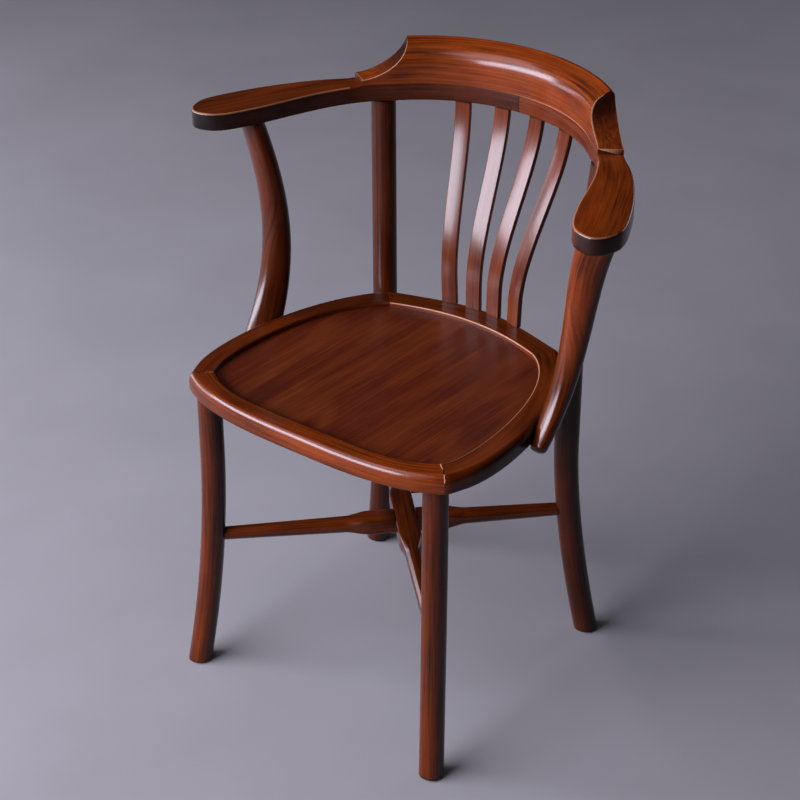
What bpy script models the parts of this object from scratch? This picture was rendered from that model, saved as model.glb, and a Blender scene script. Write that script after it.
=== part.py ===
"""Bentwood armchair, every piece modelled on its own and fitted to its neighbours.

A mitred seat rim holds a sunk plywood panel. Round front legs stand under its front
corners, and two long rear posts pass its rear corners on the way up to a horseshoe
arm rail. Four bent slats fill the back, a crest caps the rail, a bent support holds
each arm, and a lapped cross of stretchers ties the legs together.

Units are metres, +Z is up and the chair faces -Y. X = 0 is the plane of symmetry.
"""

import math

import bmesh
import bpy
from mathutils import Vector
from mathutils.geometry import interpolate_bezier

# Fits
GAP = 0.0003                 # air left between two pieces that touch
WELD = 0.000005              # points closer than this are one point

# Heights
SEAT_TOP = 0.455
ARM_RISE = 0.2708            # seat top to the underside of the arm rail

# Seat rim in plan, right half; a bow is the pair of handles that shapes a curved run
RIM_THICK = 0.025
RIM_TOP_ROUND = 0.0055
RIM_LOW_ROUND = 0.002
RIM_FRONT_Y = -0.2155
RIM_FRONT_WIDTH = 0.0285
RIM_BACK_Y = 0.1985
RIM_BACK_WIDTH = 0.0385
FRONT_CORNER = Vector((0.1839, -0.1568))     # inner end of the front mitre
FRONT_MITRE = Vector((0.0236, -0.0232))      # from there to its outer end
RIM_SHOULDER = Vector((0.219, -0.157))       # where the front corner runs into the side
REAR_CORNER = Vector((0.1195, 0.1355))       # inner end of the rear mitre
REAR_MITRE = 0.0366
REAR_FLAT = 0.014                            # width of the flat that meets the post
DIAGONAL = Vector((1, 1)).normalized()       # the way the rear mitres point
FRONT_BOW = (Vector((0.0541, 0)), Vector((-0.0589, -0.0384)))
CORNER_BOW = (Vector((0.0050, 0.0033)), Vector((-0.0046, -0.0105)))
SIDE_BOW = (Vector((0.0256, 0.0586)), Vector((0.0771, -0.0854)))
BACK_BOW = (Vector((-0.0450, 0.0125)), Vector((0.050, 0)))
INNER_FRONT_BOW = (Vector((0.104, 0)), Vector((-0.0509, -0.0333)))
INNER_SIDE_BOW = (Vector((0.025, 0.0191)), Vector((0.0863, -0.0533)))
INNER_BACK_BOW = (Vector((-0.035, 0.014)), Vector((0.045, 0)))

# Seat panel, held by a tongue in a groove of the rim
PANEL_THICK = 0.006
PANEL_SINK = 0.007           # panel top below the rim top
PANEL_TONGUE = 0.008

# Legs and posts
LEG_RADIUS = 0.0165
LEG_SHIFT = Vector((0.0010, -0.0105))        # leg axis from the inner front corner
LEG_FLARE = Vector((0.0186, -0.0284))        # how far the foot kicks out
LEG_BEND = 0.338                             # height at which the kick starts
LEG_POWER = 1.95
POST_RADIUS = 0.017
POST_NOTCH = 0.001                           # depth of the flat cut into the post
POST_FLARE = Vector((0.0332, 0.0229))
POST_BEND = 0.306
POST_POWER = 1.62
POST_LEAN_DROP = 0.015                       # the lean starts this far below the seat top
POST_ANGLE = math.radians(50.25)             # where the post meets the arm rail
POST_PEG_RADIUS = 0.010
POST_PEG = 0.015
GLIDE_RADIUS = 0.013
GLIDE_THICK = 0.0025
GLIDE_PIN_RADIUS = 0.0015
GLIDE_PIN = 0.012

# Corner blocks, given as (inward, half width) in the diagonal frame of their corner
BLOCK_THICK = 0.012
FRONT_BLOCK = ((0.004, 0.030), (0.034, 0.010))
REAR_BLOCK = ((0.001, 0.006), (0.016, 0.030), (0.044, 0.024))
FRONT_BLOCK_SCREW = (0.010, 0.0205)
REAR_BLOCK_SCREW = (0.024, 0.024)

# Arm rail, an arc at the back that opens into two flat paddles; points on an arm are given as
# (share of the way out from the end of the arc to the full reach, y)
RAIL_THICK = 0.0246
RAIL_WIDTH = 0.034
RAIL_ROUND = 0.003
ARC_Y = 0.05
ARC_RADIUS = 0.2125
ARC_END = math.radians(46)
ARM_REACH = 0.327            # half the width over the arms
ARM_INNER = ((0.179, 0.167), (0.340, 0.120), (0.454, 0.070), (0.558, 0.020))
ARM_TIP = ((0.713, -0.0286), (0.799, -0.037), (0.891, -0.0385), (0.960, -0.029), (0.997, -0.011), (1, 0))
ARM_OUTER = ((0.894, 0.050), (0.736, 0.100), (0.529, 0.150), (0.365, 0.179))

# Crest on the rail
CREST_ANGLE = math.radians(58.4)
CREST_HEIGHT = 0.0571
CREST_SLOPE = math.radians(28)
CREST_RIDGE = 0.0275         # ridge behind the front face
CREST_NOSE = 0.028
CREST_STEP = 0.007           # height left at its two ends
SCOOP_ANGLE = math.radians(16.4)
SCOOP_POWER = 1.65
CREST_BROW = 0.0015          # the front and the back end this far below the ridge

# Back slats: (foot, angle of the head about the arc, yaw); the foot is the middle of the front face
SLAT_WIDTH = 0.022
SLAT_THICK = 0.008
SLAT_ROUND = 0.0015
SLAT_TENON_WIDTH = 0.016
SLAT_TENON_THICK = 0.004
SLAT_TENON = 0.012
SLAT_START = 0.13            # share of the height that stands straight
SLAT_END = 1.06              # the bend would end this far up
SLAT_SET = 0.0022            # front face behind the inner edge of the rail
SLAT_PROBE = 0.01            # share of the height over which the slope is measured
SLATS = {
    "inner": (Vector((0.0163, 0.1880)), math.radians(7.3), math.radians(6.5)),
    "outer": (Vector((0.0526, 0.1835)), math.radians(22.4), math.radians(15)),
}

# Arm supports, a bent stick, wide across the arm at its head and along the rim at its foot; the two
# widths and thicknesses are those of head and foot
SUPPORT_TOP = (0.718, 0.0375)                # a point on the arm
SUPPORT_FOOT_Y = -0.0113
SUPPORT_FOOT_OUT = 0.0065    # centre of the stick outside the rim's edge
SUPPORT_DROP = 0.0274        # end of the bend below the seat top
SUPPORT_UPPER = Vector((-0.0393, 0.0042))    # handle at the arm
SUPPORT_LOWER = Vector((0.0139, 0.0780))     # handle at the rim
SUPPORT_WIDTH = (0.0289, 0.0464)
SUPPORT_THICK = (0.0496, 0.0237)
SUPPORT_YAW = math.radians(124)
SUPPORT_SPARE = 0.014        # left on at the head, then sawn off under the arm
SUPPORT_TIP = 0.010
SUPPORT_POWER = 2.2
SUPPORT_TIP_POWER = 2.4
SUPPORT_TIP_STEPS = (0.45, 0.75, 0.93, 0.995)

# Stretchers, half lapped where they cross
STRETCHER_Z = 0.205
LAP_WIDTH = 0.031
LAP_HEIGHT = 0.022
LAP_HALF = 0.050
LAP_CHAMFER = 0.002
NECK = 0.036                 # length over which the block thins down
ARM_SECTION = (0.0235, 0.0205)
END_SECTION = (0.0170, 0.0170)
STRETCHER_PEG_RADIUS = 0.006
STRETCHER_PEG = 0.012

# Fixings
DOWEL_RADIUS = 0.004
SEAM_DOWEL_RADIUS = 0.003
MITRE_DOWEL = 0.026
MITRE_DOWEL_SHARE = 0.58     # where along the mitre the dowel sits
LEG_DOWEL = (0.022, 0.0095)  # how far the dowel runs into the leg and into the rim
SUPPORT_DOWEL = (0.014, 0.012)
CREST_DOWEL = (0.0095, 0.0155)
CREST_DOWEL_ANGLES = (math.radians(13), math.radians(40))
SEAM_DOWEL = 0.040
SEAM_DOWEL_SHARES = {"inner": 0.28, "outer": 0.70}    # across the rail
SEAM_DOWEL_LIFT = 0.76       # share of the rail's thickness
SCREW_RADIUS = 0.00175
SCREW_HEAD_RADIUS = 0.0035
SCREW_HEAD = 0.003
SCREW_SINK = 0.0005          # screw heads sit this far below the wood
BLOCK_SCREW = 0.022
LEG_SCREW = 0.026
POST_SCREW = 0.065
SUPPORT_SCREW = 0.040
SUPPORT_SCREW_SPREAD = 0.010
LAP_SCREW = 0.018

# Roundness: how many steps make up a curve
RIM_STEPS = 9
TOP_ROUND_STEPS = 3
EDGE_STEPS = 2
ROD_SIDES = 20
ROD_STEPS = 12
PEG_SIDES = 12
ARC_STEPS = 10
ARM_STEPS = 4
SCOOP_STEPS = 8
CREST_STEPS = 6
FRONT_SHARES = (0, 0.46, 0.60, 0.72, 0.82, 0.90, 1)      # points up the front of the crest
BACK_SHARES = (1, 0.965, 0.93, 0.89, 0)                 # and down its back
CREST_TOP_STEPS = 4
SLAT_STEPS = 12
CORNER_STEPS = 2
SUPPORT_STEPS = 16
SUPPORT_SIDES = 24
NECK_STEPS = 4
CRISP = math.radians(40)     # corners sharper than this stay crisp

# Finishes: colour, roughness, metallic
FINISHES = {
    "stained_beech": ((0.150, 0.042, 0.016), 0.25, 0.0),
    "veneered_ply": ((0.095, 0.025, 0.011), 0.22, 0.0),
    "raw_beech": ((0.560, 0.370, 0.210), 0.60, 0.0),
    "zinc_steel": ((0.520, 0.520, 0.500), 0.35, 1.0),
    "dark_plastic": ((0.030, 0.026, 0.024), 0.55, 0.0),
}

RIM_LOW = SEAT_TOP - RIM_THICK
PANEL_TOP = SEAT_TOP - PANEL_SINK
PANEL_LOW = PANEL_TOP - PANEL_THICK
BLOCK_TOP = RIM_LOW - GAP
BLOCK_LOW = BLOCK_TOP - BLOCK_THICK
RAIL_LOW = SEAT_TOP + ARM_RISE
RAIL_TOP = RAIL_LOW + RAIL_THICK
CREST_LOW = RAIL_TOP + GAP
DEPTH_CENTRE = (RIM_FRONT_Y + ARC_Y + ARC_RADIUS + RAIL_WIDTH) / 2
DOWN = Vector((0, 0, -1))
UP = Vector((0, 0, 1))
SIDES = (("left", -1), ("right", 1))


# A clean scene with one collection for the pieces and one for what cuts them
for old in list(bpy.data.objects):
    bpy.data.objects.remove(old)
parts = bpy.data.collections.new("bentwood_armchair")
cutters = bpy.data.collections.new("cutters")
bpy.context.scene.collection.children.link(parts)
bpy.context.scene.collection.children.link(cutters)
cutters.hide_render = True
chair = bpy.data.objects.new("chair_origin", None)
chair.location.y = -DEPTH_CENTRE
chair.hide_render = True
cutters.objects.link(chair)


def finish(name):
    """One of the finishes above as a material."""
    colour, roughness, metallic = FINISHES[name]
    material = bpy.data.materials.new(name)
    material.use_nodes = True
    shader = material.node_tree.nodes["Principled BSDF"]
    shader.inputs["Base Color"].default_value = (*colour, 1)
    shader.inputs["Roughness"].default_value = roughness
    shader.inputs["Metallic"].default_value = metallic
    return material


materials = {name: finish(name) for name in FINISHES}


def add(name, data, material=None):
    """A new object among the pieces, standing in the chair's own frame."""
    obj = bpy.data.objects.new(name, data)
    obj.parent = chair
    parts.objects.link(obj)
    if material:
        data.materials.append(materials[material])
    return obj


def solid_mesh(obj):
    """What an object looks like with its modifiers or bevels carried out."""
    bpy.context.view_layer.update()
    graph = bpy.context.evaluated_depsgraph_get()
    return bpy.data.meshes.new_from_object(obj.evaluated_get(graph))


def bake(obj):
    """Carries out an object's modifiers for good."""
    mesh = solid_mesh(obj)
    obj.modifiers.clear()
    obj.data = mesh


def weld(mesh):
    """Joins points that lie on one another, such as a cap and the wall beside it."""
    bm = bmesh.new()
    bm.from_mesh(mesh)
    bmesh.ops.remove_doubles(bm, verts=bm.verts, dist=WELD)
    bmesh.ops.recalc_face_normals(bm, faces=bm.faces)
    bm.to_mesh(mesh)
    bm.free()


def smooth(obj):
    """Shades an object as round, keeping its real corners crisp."""
    obj.data.shade_smooth()
    obj.data.set_sharp_from_angle(angle=CRISP)
    return obj


def from_curve(name, curve, material):
    """A curve turned into a welded mesh object."""
    guide = add(name, curve)
    mesh = solid_mesh(guide)
    bpy.data.objects.remove(guide)
    mesh.materials.clear()
    weld(mesh)
    return add(name, mesh, material)


def new_curve(name, dimensions, points, closed):
    """A curve through straight runs between points."""
    curve = bpy.data.curves.new(name, "CURVE")
    curve.dimensions = dimensions
    spline = curve.splines.new("POLY")
    spline.points.add(len(points) - 1)
    for knot, point in zip(spline.points, points):
        knot.co = (*point.to_3d(), 1)
    spline.use_cyclic_u = closed
    return curve


def plate(name, outline, z_low, z_high, material="stained_beech"):
    """A flat piece sawn to an outline, its two faces left as single faces."""
    curve = new_curve(name, "2D", outline, True)
    curve.fill_mode = "BOTH"
    curve.extrude = (z_high - z_low) / 2
    obj = from_curve(name, curve, material)
    bm = bmesh.new()
    bm.from_mesh(obj.data)
    inside = [e for e in bm.edges if all(abs(f.normal.z) > 0.9 for f in e.link_faces)]
    bmesh.ops.dissolve_edges(bm, edges=inside)
    bmesh.ops.translate(bm, verts=bm.verts, vec=UP * (z_low + z_high) / 2)
    bm.to_mesh(obj.data)
    bm.free()
    return obj


def rod(name, path, radius, material="stained_beech"):
    """A round rod bent along a path."""
    curve = new_curve(name, "3D", path, False)
    curve.bevel_depth = radius
    curve.bevel_resolution = (ROD_SIDES - 4) // 2
    curve.use_fill_caps = True
    return smooth(from_curve(name, curve, material))


def loft(name, rings, material="stained_beech"):
    """A skin over rings of points that change shape along the piece."""
    bm = bmesh.new()
    loops = [[bm.verts.new(point) for point in ring] for ring in rings]
    for low, high in zip(loops, loops[1:]):
        for i in range(len(low)):
            bm.faces.new((low[i - 1], low[i], high[i], high[i - 1]))
    bm.faces.new(loops[0])
    bm.faces.new(loops[-1])
    bmesh.ops.recalc_face_normals(bm, faces=bm.faces)
    mesh = bpy.data.meshes.new(name)
    bm.to_mesh(mesh)
    bm.free()
    return smooth(add(name, mesh, material))


def aim(obj, place, along):
    """Puts an object at a place with its own Z pointing along."""
    obj.location = place
    obj.rotation_euler = along.to_track_quat("Z", "Y").to_euler()
    return obj


def cylinder(name, start, end, radius, material="raw_beech"):
    """A straight round bar from start to end."""
    bm = bmesh.new()
    bmesh.ops.create_cone(bm, cap_ends=True, segments=PEG_SIDES, radius1=radius, radius2=radius,
                          depth=(end - start).length)
    mesh = bpy.data.meshes.new(name)
    bm.to_mesh(mesh)
    bm.free()
    return aim(smooth(add(name, mesh, material)), (start + end) / 2, end - start)


def box(name, centre, size, yaw=0.0):
    """A block of a given size, turned about Z."""
    bm = bmesh.new()
    bmesh.ops.create_cube(bm, size=1)
    bmesh.ops.scale(bm, verts=bm.verts, vec=size)
    mesh = bpy.data.meshes.new(name)
    bm.to_mesh(mesh)
    bm.free()
    obj = add(name, mesh)
    obj.location = centre
    obj.rotation_euler.z = yaw
    return obj


def turned(name, profile, material):
    """A profile of (radius, height), listed from the top down, spun about Z."""
    bm = bmesh.new()
    points = [bm.verts.new((radius, 0, height)) for radius, height in profile]
    for upper, lower in zip(points, points[1:]):
        bm.edges.new((upper, lower))
    mesh = bpy.data.meshes.new(name)
    bm.to_mesh(mesh)
    bm.free()
    obj = add(name, mesh, material)
    spin = obj.modifiers.new("spin", "SCREW")
    spin.steps = PEG_SIDES
    spin.render_steps = PEG_SIDES
    spin.use_merge_vertices = True
    spin.merge_threshold = WELD
    bake(obj)
    weld(obj.data)
    return smooth(obj)


def trim(obj, point, normal):
    """Saws an object off flat, dropping the side the normal points to."""
    bm = bmesh.new()
    bm.from_mesh(obj.data)
    everything = bm.verts[:] + bm.edges[:] + bm.faces[:]
    bmesh.ops.bisect_plane(bm, geom=everything, dist=WELD, plane_co=point, plane_no=normal,
                           clear_outer=True)
    bmesh.ops.holes_fill(bm, edges=[edge for edge in bm.edges if edge.is_boundary])
    bmesh.ops.recalc_face_normals(bm, faces=bm.faces)
    bm.to_mesh(obj.data)
    bm.free()


def round_edges(obj, width, segments, chosen):
    """Rounds over the edges whose two ends pass the test."""
    bm = bmesh.new()
    bm.from_mesh(obj.data)
    edges = [e for e in bm.edges if chosen(e.verts[0].co, e.verts[1].co)]
    bmesh.ops.bevel(bm, geom=edges, offset=width, offset_type="OFFSET", segments=segments,
                    profile=0.5, affect="EDGES")
    bm.to_mesh(obj.data)
    bm.free()


def boolean(obj, other, operation):
    """Cuts one object with another, or joins it on, and puts the other with the cutters."""
    step = obj.modifiers.new(other.name, "BOOLEAN")
    step.operation = operation
    step.solver = "EXACT"
    step.object = other
    if other.name in parts.objects:
        parts.objects.unlink(other)
        cutters.objects.link(other)
        other.hide_render = True
        other.display_type = "WIRE"


def cut(obj, cutter):
    boolean(obj, cutter, "DIFFERENCE")


def dowel(name, start, end, radius, hosts, material="raw_beech"):
    """A round dowel, and its hole in every piece it passes through."""
    spare = (end - start).normalized() * GAP
    hole = cylinder(name + "_hole", start - spare, end + spare, radius + GAP)
    for host in hosts:
        cut(host, hole)
    return cylinder(name, start, end, radius, material)


def screw_profile(length, grow, reach):
    """Half the outline of a countersunk screw, from its tip down past its head."""
    shank = SCREW_RADIUS + grow
    head = SCREW_HEAD_RADIUS + grow
    return [(0, length + grow), (shank, length - 2 * SCREW_RADIUS + grow), (shank, SCREW_HEAD + grow),
            (head, SCREW_SINK + grow), (head, -reach), (0, -reach)]


def screw(name, surface, along, length, hosts):
    """A screw sunk just below a surface, and its hole in every piece it passes through."""
    along = along.normalized()
    head = surface + along * SCREW_SINK
    hole = turned(name + "_hole", screw_profile(length, GAP, SCREW_HEAD * 2), "zinc_steel")
    aim(hole, head, along)
    for host in hosts:
        cut(host, hole)
    return aim(turned(name, screw_profile(length, 0, 0), "zinc_steel"), head, along)


def flip(point, side):
    """A plan point moved to its own side of the chair."""
    return Vector((point.x * side, point.y))


def at(point, z):
    """A plan point lifted to a height."""
    return Vector((point.x, point.y, z))


def run(start, bow, end, steps=RIM_STEPS):
    """Points along one curved run, without its last one."""
    return interpolate_bezier(start, start + bow[0], end + bow[1], end, steps + 1)[:-1]


def both_halves(half):
    """A closed outline from its right half, which starts and ends on the middle line."""
    return half + [flip(point, -1) for point in reversed(half[1:-1])]


def grown(outline, amount):
    """An outline that runs anticlockwise, moved outwards everywhere by an amount."""
    moved = []
    for i, point in enumerate(outline):
        before = (point - outline[i - 1]).normalized()
        after = (outline[(i + 1) % len(outline)] - point).normalized()
        a = Vector((before.y, -before.x))
        b = Vector((after.y, -after.x))
        moved.append(point + (a + b) * (amount / (1 + a.dot(b))))
    return moved


def smooth_run(points, steps):
    """Points on a smooth line through all of the given ones but the first and the last."""
    slopes = []
    for before, point, after in zip(points, points[1:], points[2:]):
        slopes.append(((point - before).normalized() + (after - point).normalized()).normalized())
    line = []
    for i, slope in enumerate(slopes[:-1]):
        start, end = points[i + 1], points[i + 2]
        third = (end - start).length / 3
        line += run(start, (slope * third, slopes[i + 1] * -third), end, steps)
    return line + [points[-2]]


# Plan of the seat
FLAT_CENTRE = REAR_CORNER + DIAGONAL * REAR_MITRE
FLAT_HALF = Vector((1, -1)).normalized() * (REAR_FLAT / 2)
MITRE_END = FRONT_CORNER + FRONT_MITRE
BACK_MIDDLE = Vector((0, RIM_BACK_Y))
INNER_BACK = Vector((0, RIM_BACK_Y - RIM_BACK_WIDTH))
SIDE_EDGE = run(RIM_SHOULDER, SIDE_BOW, FLAT_CENTRE + FLAT_HALF, RIM_STEPS * 2)
RIM_OUTER = both_halves(
    run(Vector((0, RIM_FRONT_Y)), FRONT_BOW, MITRE_END)
    + run(MITRE_END, CORNER_BOW, RIM_SHOULDER, RIM_STEPS // 2)
    + SIDE_EDGE
    + [FLAT_CENTRE + FLAT_HALF]
    + run(FLAT_CENTRE - FLAT_HALF, BACK_BOW, BACK_MIDDLE)
    + [BACK_MIDDLE]
)
RIM_INNER = both_halves(
    run(Vector((0, RIM_FRONT_Y + RIM_FRONT_WIDTH)), INNER_FRONT_BOW, FRONT_CORNER)
    + run(FRONT_CORNER, INNER_SIDE_BOW, REAR_CORNER, RIM_STEPS * 2)
    + run(REAR_CORNER, INNER_BACK_BOW, INNER_BACK)
    + [INNER_BACK]
)

# Plan of the arm rail, right half
ARC_ANGLES = [ARC_END * i / ARC_STEPS for i in range(ARC_STEPS + 1)]
ARM_ROOT = ARC_RADIUS * math.sin(ARC_END)


def on_arc(radius, angle):
    """A plan point on an arc about the middle of the back."""
    return Vector((radius * math.sin(angle), ARC_Y + radius * math.cos(angle)))


def on_arm(spot):
    """A plan point from its share of the way out and its y."""
    return Vector((ARM_ROOT + (ARM_REACH - ARM_ROOT) * spot[0], spot[1]))


INNER_ARC = [on_arc(ARC_RADIUS, angle) for angle in ARC_ANGLES]
OUTER_ARC = [on_arc(ARC_RADIUS + RAIL_WIDTH, angle) for angle in reversed(ARC_ANGLES)]
ARM_POINTS = [on_arm(spot) for spot in ARM_INNER + ARM_TIP + ARM_OUTER]
ARM_LINE = smooth_run(INNER_ARC[-2:] + ARM_POINTS + OUTER_ARC[:2], ARM_STEPS)
RAIL_OUTLINE = INNER_ARC[:-1] + ARM_LINE + OUTER_ARC[1:]
ARM_TURN = len(RAIL_OUTLINE) // 2


def on_rail(angle, share):
    """A plan point on the rail at an angle about its arc: share 0 is its inner edge, 1 its outer."""
    aim_at = Vector((math.sin(angle), math.cos(angle)))
    middle = Vector((0, ARC_Y))
    found = []
    for edge in (RAIL_OUTLINE[:ARM_TURN], RAIL_OUTLINE[ARM_TURN:]):
        for a, b in zip(edge, edge[1:]):
            turn_a = (a - middle).cross(aim_at)
            turn_b = (b - middle).cross(aim_at)
            if turn_a * turn_b <= 0 and turn_a != turn_b:
                found.append(a + (b - a) * (turn_a / (turn_a - turn_b)))
                break
    return found[0] + (found[1] - found[0]) * share


def leg_axis(side, z):
    """Centre of a front leg at a height."""
    kick = max(0.0, 1 - z / LEG_BEND) ** LEG_POWER
    return at(flip(FRONT_CORNER + LEG_SHIFT + LEG_FLARE * kick, side), z)


def post_axis(side, z):
    """Centre of a rear post at a height."""
    seat = FLAT_CENTRE + DIAGONAL * (POST_RADIUS - POST_NOTCH)
    kick = max(0.0, 1 - z / POST_BEND) ** POST_POWER
    start = SEAT_TOP - POST_LEAN_DROP
    lean = max(0.0, (z - start) / (RAIL_LOW - start))
    return at(flip(seat + POST_FLARE * kick + (on_rail(POST_ANGLE, 0.5) - seat) * lean, side), z)


def level(z_from, z_to, steps):
    """Heights, or angles, in even steps."""
    return [z_from + (z_to - z_from) * i / steps for i in range(steps + 1)]


def seat_blank(name, grow, z_low):
    """The whole seat outline as one board with its top edge rounded."""
    top = SEAT_TOP + grow
    blank = plate(name, grown(RIM_OUTER, grow), z_low, top)
    round_edges(blank, RIM_TOP_ROUND, TOP_ROUND_STEPS, lambda a, b: min(a.z, b.z) > top - WELD)
    return blank


# Seat rim: one ring, grooved for the panel, then mitred into four
ring = seat_blank("rim_ring", 0, RIM_LOW)
round_edges(ring, RIM_LOW_ROUND, EDGE_STEPS, lambda a, b: max(a.z, b.z) < RIM_LOW + WELD)
cut(ring, plate("rim_opening", RIM_INNER, RIM_LOW - RIM_THICK, SEAT_TOP + RIM_THICK))
cut(ring, plate("panel_groove", grown(RIM_INNER, PANEL_TONGUE + GAP), PANEL_LOW - GAP, PANEL_TOP + GAP))
bake(ring)
seat_panel = plate("seat_panel", grown(RIM_INNER, PANEL_TONGUE), PANEL_LOW, PANEL_TOP, "veneered_ply")


def mitre(side, corner, along, keep):
    """A mitre as a saw cut: a point and the direction that falls away from the kept piece."""
    across = Vector((-along.y, along.x)).normalized()
    if across.dot(keep - corner) > 0:
        across = -across
    return at(flip(corner - across * (GAP / 2), side), 0), at(flip(across, side), 0)


def rim_piece(name, cuts):
    """One quarter of the rim, sawn out of the ring."""
    obj = add(name, ring.data.copy())
    for point, normal in cuts:
        trim(obj, point, normal)
    return obj


SIDE_KEEP = Vector((RIM_SHOULDER.x, 0))
rim_front = rim_piece("seat_rim_front", [
    mitre(side, FRONT_CORNER, FRONT_MITRE, Vector((0, RIM_FRONT_Y))) for _, side in SIDES])
rim_back = rim_piece("seat_rim_back", [
    mitre(side, REAR_CORNER, DIAGONAL, BACK_MIDDLE) for _, side in SIDES])
rim_side = {}
for label, side in SIDES:
    rim_side[side] = rim_piece("seat_rim_" + label, [
        mitre(side, FRONT_CORNER, FRONT_MITRE, SIDE_KEEP),
        mitre(side, REAR_CORNER, DIAGONAL, SIDE_KEEP)])
bpy.data.objects.remove(ring)

# The boards that posts and supports are scribed to, a gap larger than the seat
SUPPORT_LOW = SEAT_TOP - SUPPORT_DROP - SUPPORT_TIP - SUPPORT_WIDTH[1] / 2
post_scribe = seat_blank("post_scribe", GAP, BLOCK_LOW - GAP)
support_scribe = seat_blank("support_scribe", GAP, SUPPORT_LOW)

# Dowels across the four mitres, low enough to pass under the panel groove
for label, side in SIDES:
    for end, corner, line, host in (
        ("front", FRONT_CORNER, FRONT_MITRE, rim_front),
        ("rear", REAR_CORNER, DIAGONAL * REAR_MITRE, rim_back),
    ):
        spot = at(flip(corner + line * MITRE_DOWEL_SHARE, side), (RIM_LOW + PANEL_LOW) / 2 + WELD)
        half = at(flip(Vector((-line.y, line.x)).normalized(), side), 0) * (MITRE_DOWEL / 2)
        hosts = (host, rim_side[side])
        dowel(f"mitre_dowel_{end}_{label}", spot - half, spot + half, DOWEL_RADIUS, hosts)

# Front legs and rear posts, with a pad under each foot
SOLE = GLIDE_THICK + GAP
legs = {}
posts = {}
leg_shells = {}              # a gap larger than the leg or post, for scribing the stretchers to it
post_shells = {}
for label, side in SIDES:
    heights = [RIM_LOW + LEG_RADIUS, *level(LEG_BEND, -LEG_RADIUS, ROD_STEPS)]
    path = [leg_axis(side, z) for z in heights]
    leg = rod("front_leg_" + label, path, LEG_RADIUS)
    leg_shells[side] = rod("leg_shell_" + label, path, LEG_RADIUS + GAP)
    trim(leg, UP * (RIM_LOW - GAP), UP)
    heights = [RAIL_LOW + POST_RADIUS, *level(SEAT_TOP - POST_LEAN_DROP, POST_BEND, 2)]
    heights += level(POST_BEND, -POST_RADIUS, ROD_STEPS)[1:]
    path = [post_axis(side, z) for z in heights]
    post = rod("rear_post_" + label, path, POST_RADIUS)
    post_shells[side] = rod("post_shell_" + label, path, POST_RADIUS + GAP)
    trim(post, UP * (RAIL_LOW - GAP), UP)
    legs[side] = leg
    posts[side] = post
    for end, upright, axis in (("front", leg, leg_axis), ("rear", post, post_axis)):
        trim(upright, UP * SOLE, DOWN)
        tip = GLIDE_THICK + GLIDE_PIN
        profile = [(0, tip), (GLIDE_PIN_RADIUS, tip - GLIDE_PIN_RADIUS), (GLIDE_PIN_RADIUS, GLIDE_THICK),
                   (GLIDE_RADIUS, GLIDE_THICK), (GLIDE_RADIUS, 0), (0, 0)]
        glide = turned(f"foot_glide_{end}_{label}", profile, "dark_plastic")
        glide.location = axis(side, 0)
        foot = axis(side, 0)
        cut(upright, cylinder(f"pin_hole_{end}_{label}", foot, foot + UP * (tip + GAP),
                              GLIDE_PIN_RADIUS + GAP))
    cut(post, post_scribe)
    top = leg_axis(side, RIM_LOW)
    dowel("leg_dowel_" + label, top - UP * LEG_DOWEL[0], top + UP * LEG_DOWEL[1], DOWEL_RADIUS,
          (leg, rim_front, rim_side[side]))

# Corner blocks under the rim, screwed up into it and sideways into the leg or post
for label, side in SIDES:
    for end, origin, inward, shape, drill in (
        ("front", FRONT_CORNER + LEG_SHIFT, Vector((-1, 1)).normalized(), FRONT_BLOCK, FRONT_BLOCK_SCREW),
        ("rear", FLAT_CENTRE, -DIAGONAL, REAR_BLOCK, REAR_BLOCK_SCREW),
    ):
        across = Vector((-inward.y, inward.x))

        def spot(depth, offset):
            return flip(origin + inward * depth + across * offset, side)

        outline = [spot(d, w) for d, w in shape] + [spot(d, -w) for d, w in reversed(shape)]
        block = plate(f"corner_block_{end}_{label}", outline, BLOCK_LOW, BLOCK_TOP)
        along = at(flip(-inward, side), 0)
        face = at(spot(shape[-1][0], 0), (BLOCK_LOW + BLOCK_TOP) / 2)
        if end == "front":
            socket = leg_axis(side, BLOCK_LOW)
            clear = (LEG_RADIUS + GAP) / math.cos(math.pi / PEG_SIDES)
            cut(block, cylinder("leg_socket_" + label, socket - UP * BLOCK_THICK,
                                socket + UP * BLOCK_THICK * 2, clear))
            screw("front_leg_screw_" + label, face, along, LEG_SCREW, (block, legs[side]))
        else:
            screw("rear_post_screw_" + label, face, along, POST_SCREW, (block, posts[side]))
        for number, sign in ((1, 1), (2, -1)):
            under = at(spot(drill[0], drill[1] * sign), BLOCK_LOW)
            rim_end = rim_front if end == "front" else rim_back
            hosts = (block, rim_side[side], rim_end)
            screw(f"block_screw_{end}_{label}_{number}", under, UP, BLOCK_SCREW, hosts)

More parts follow.
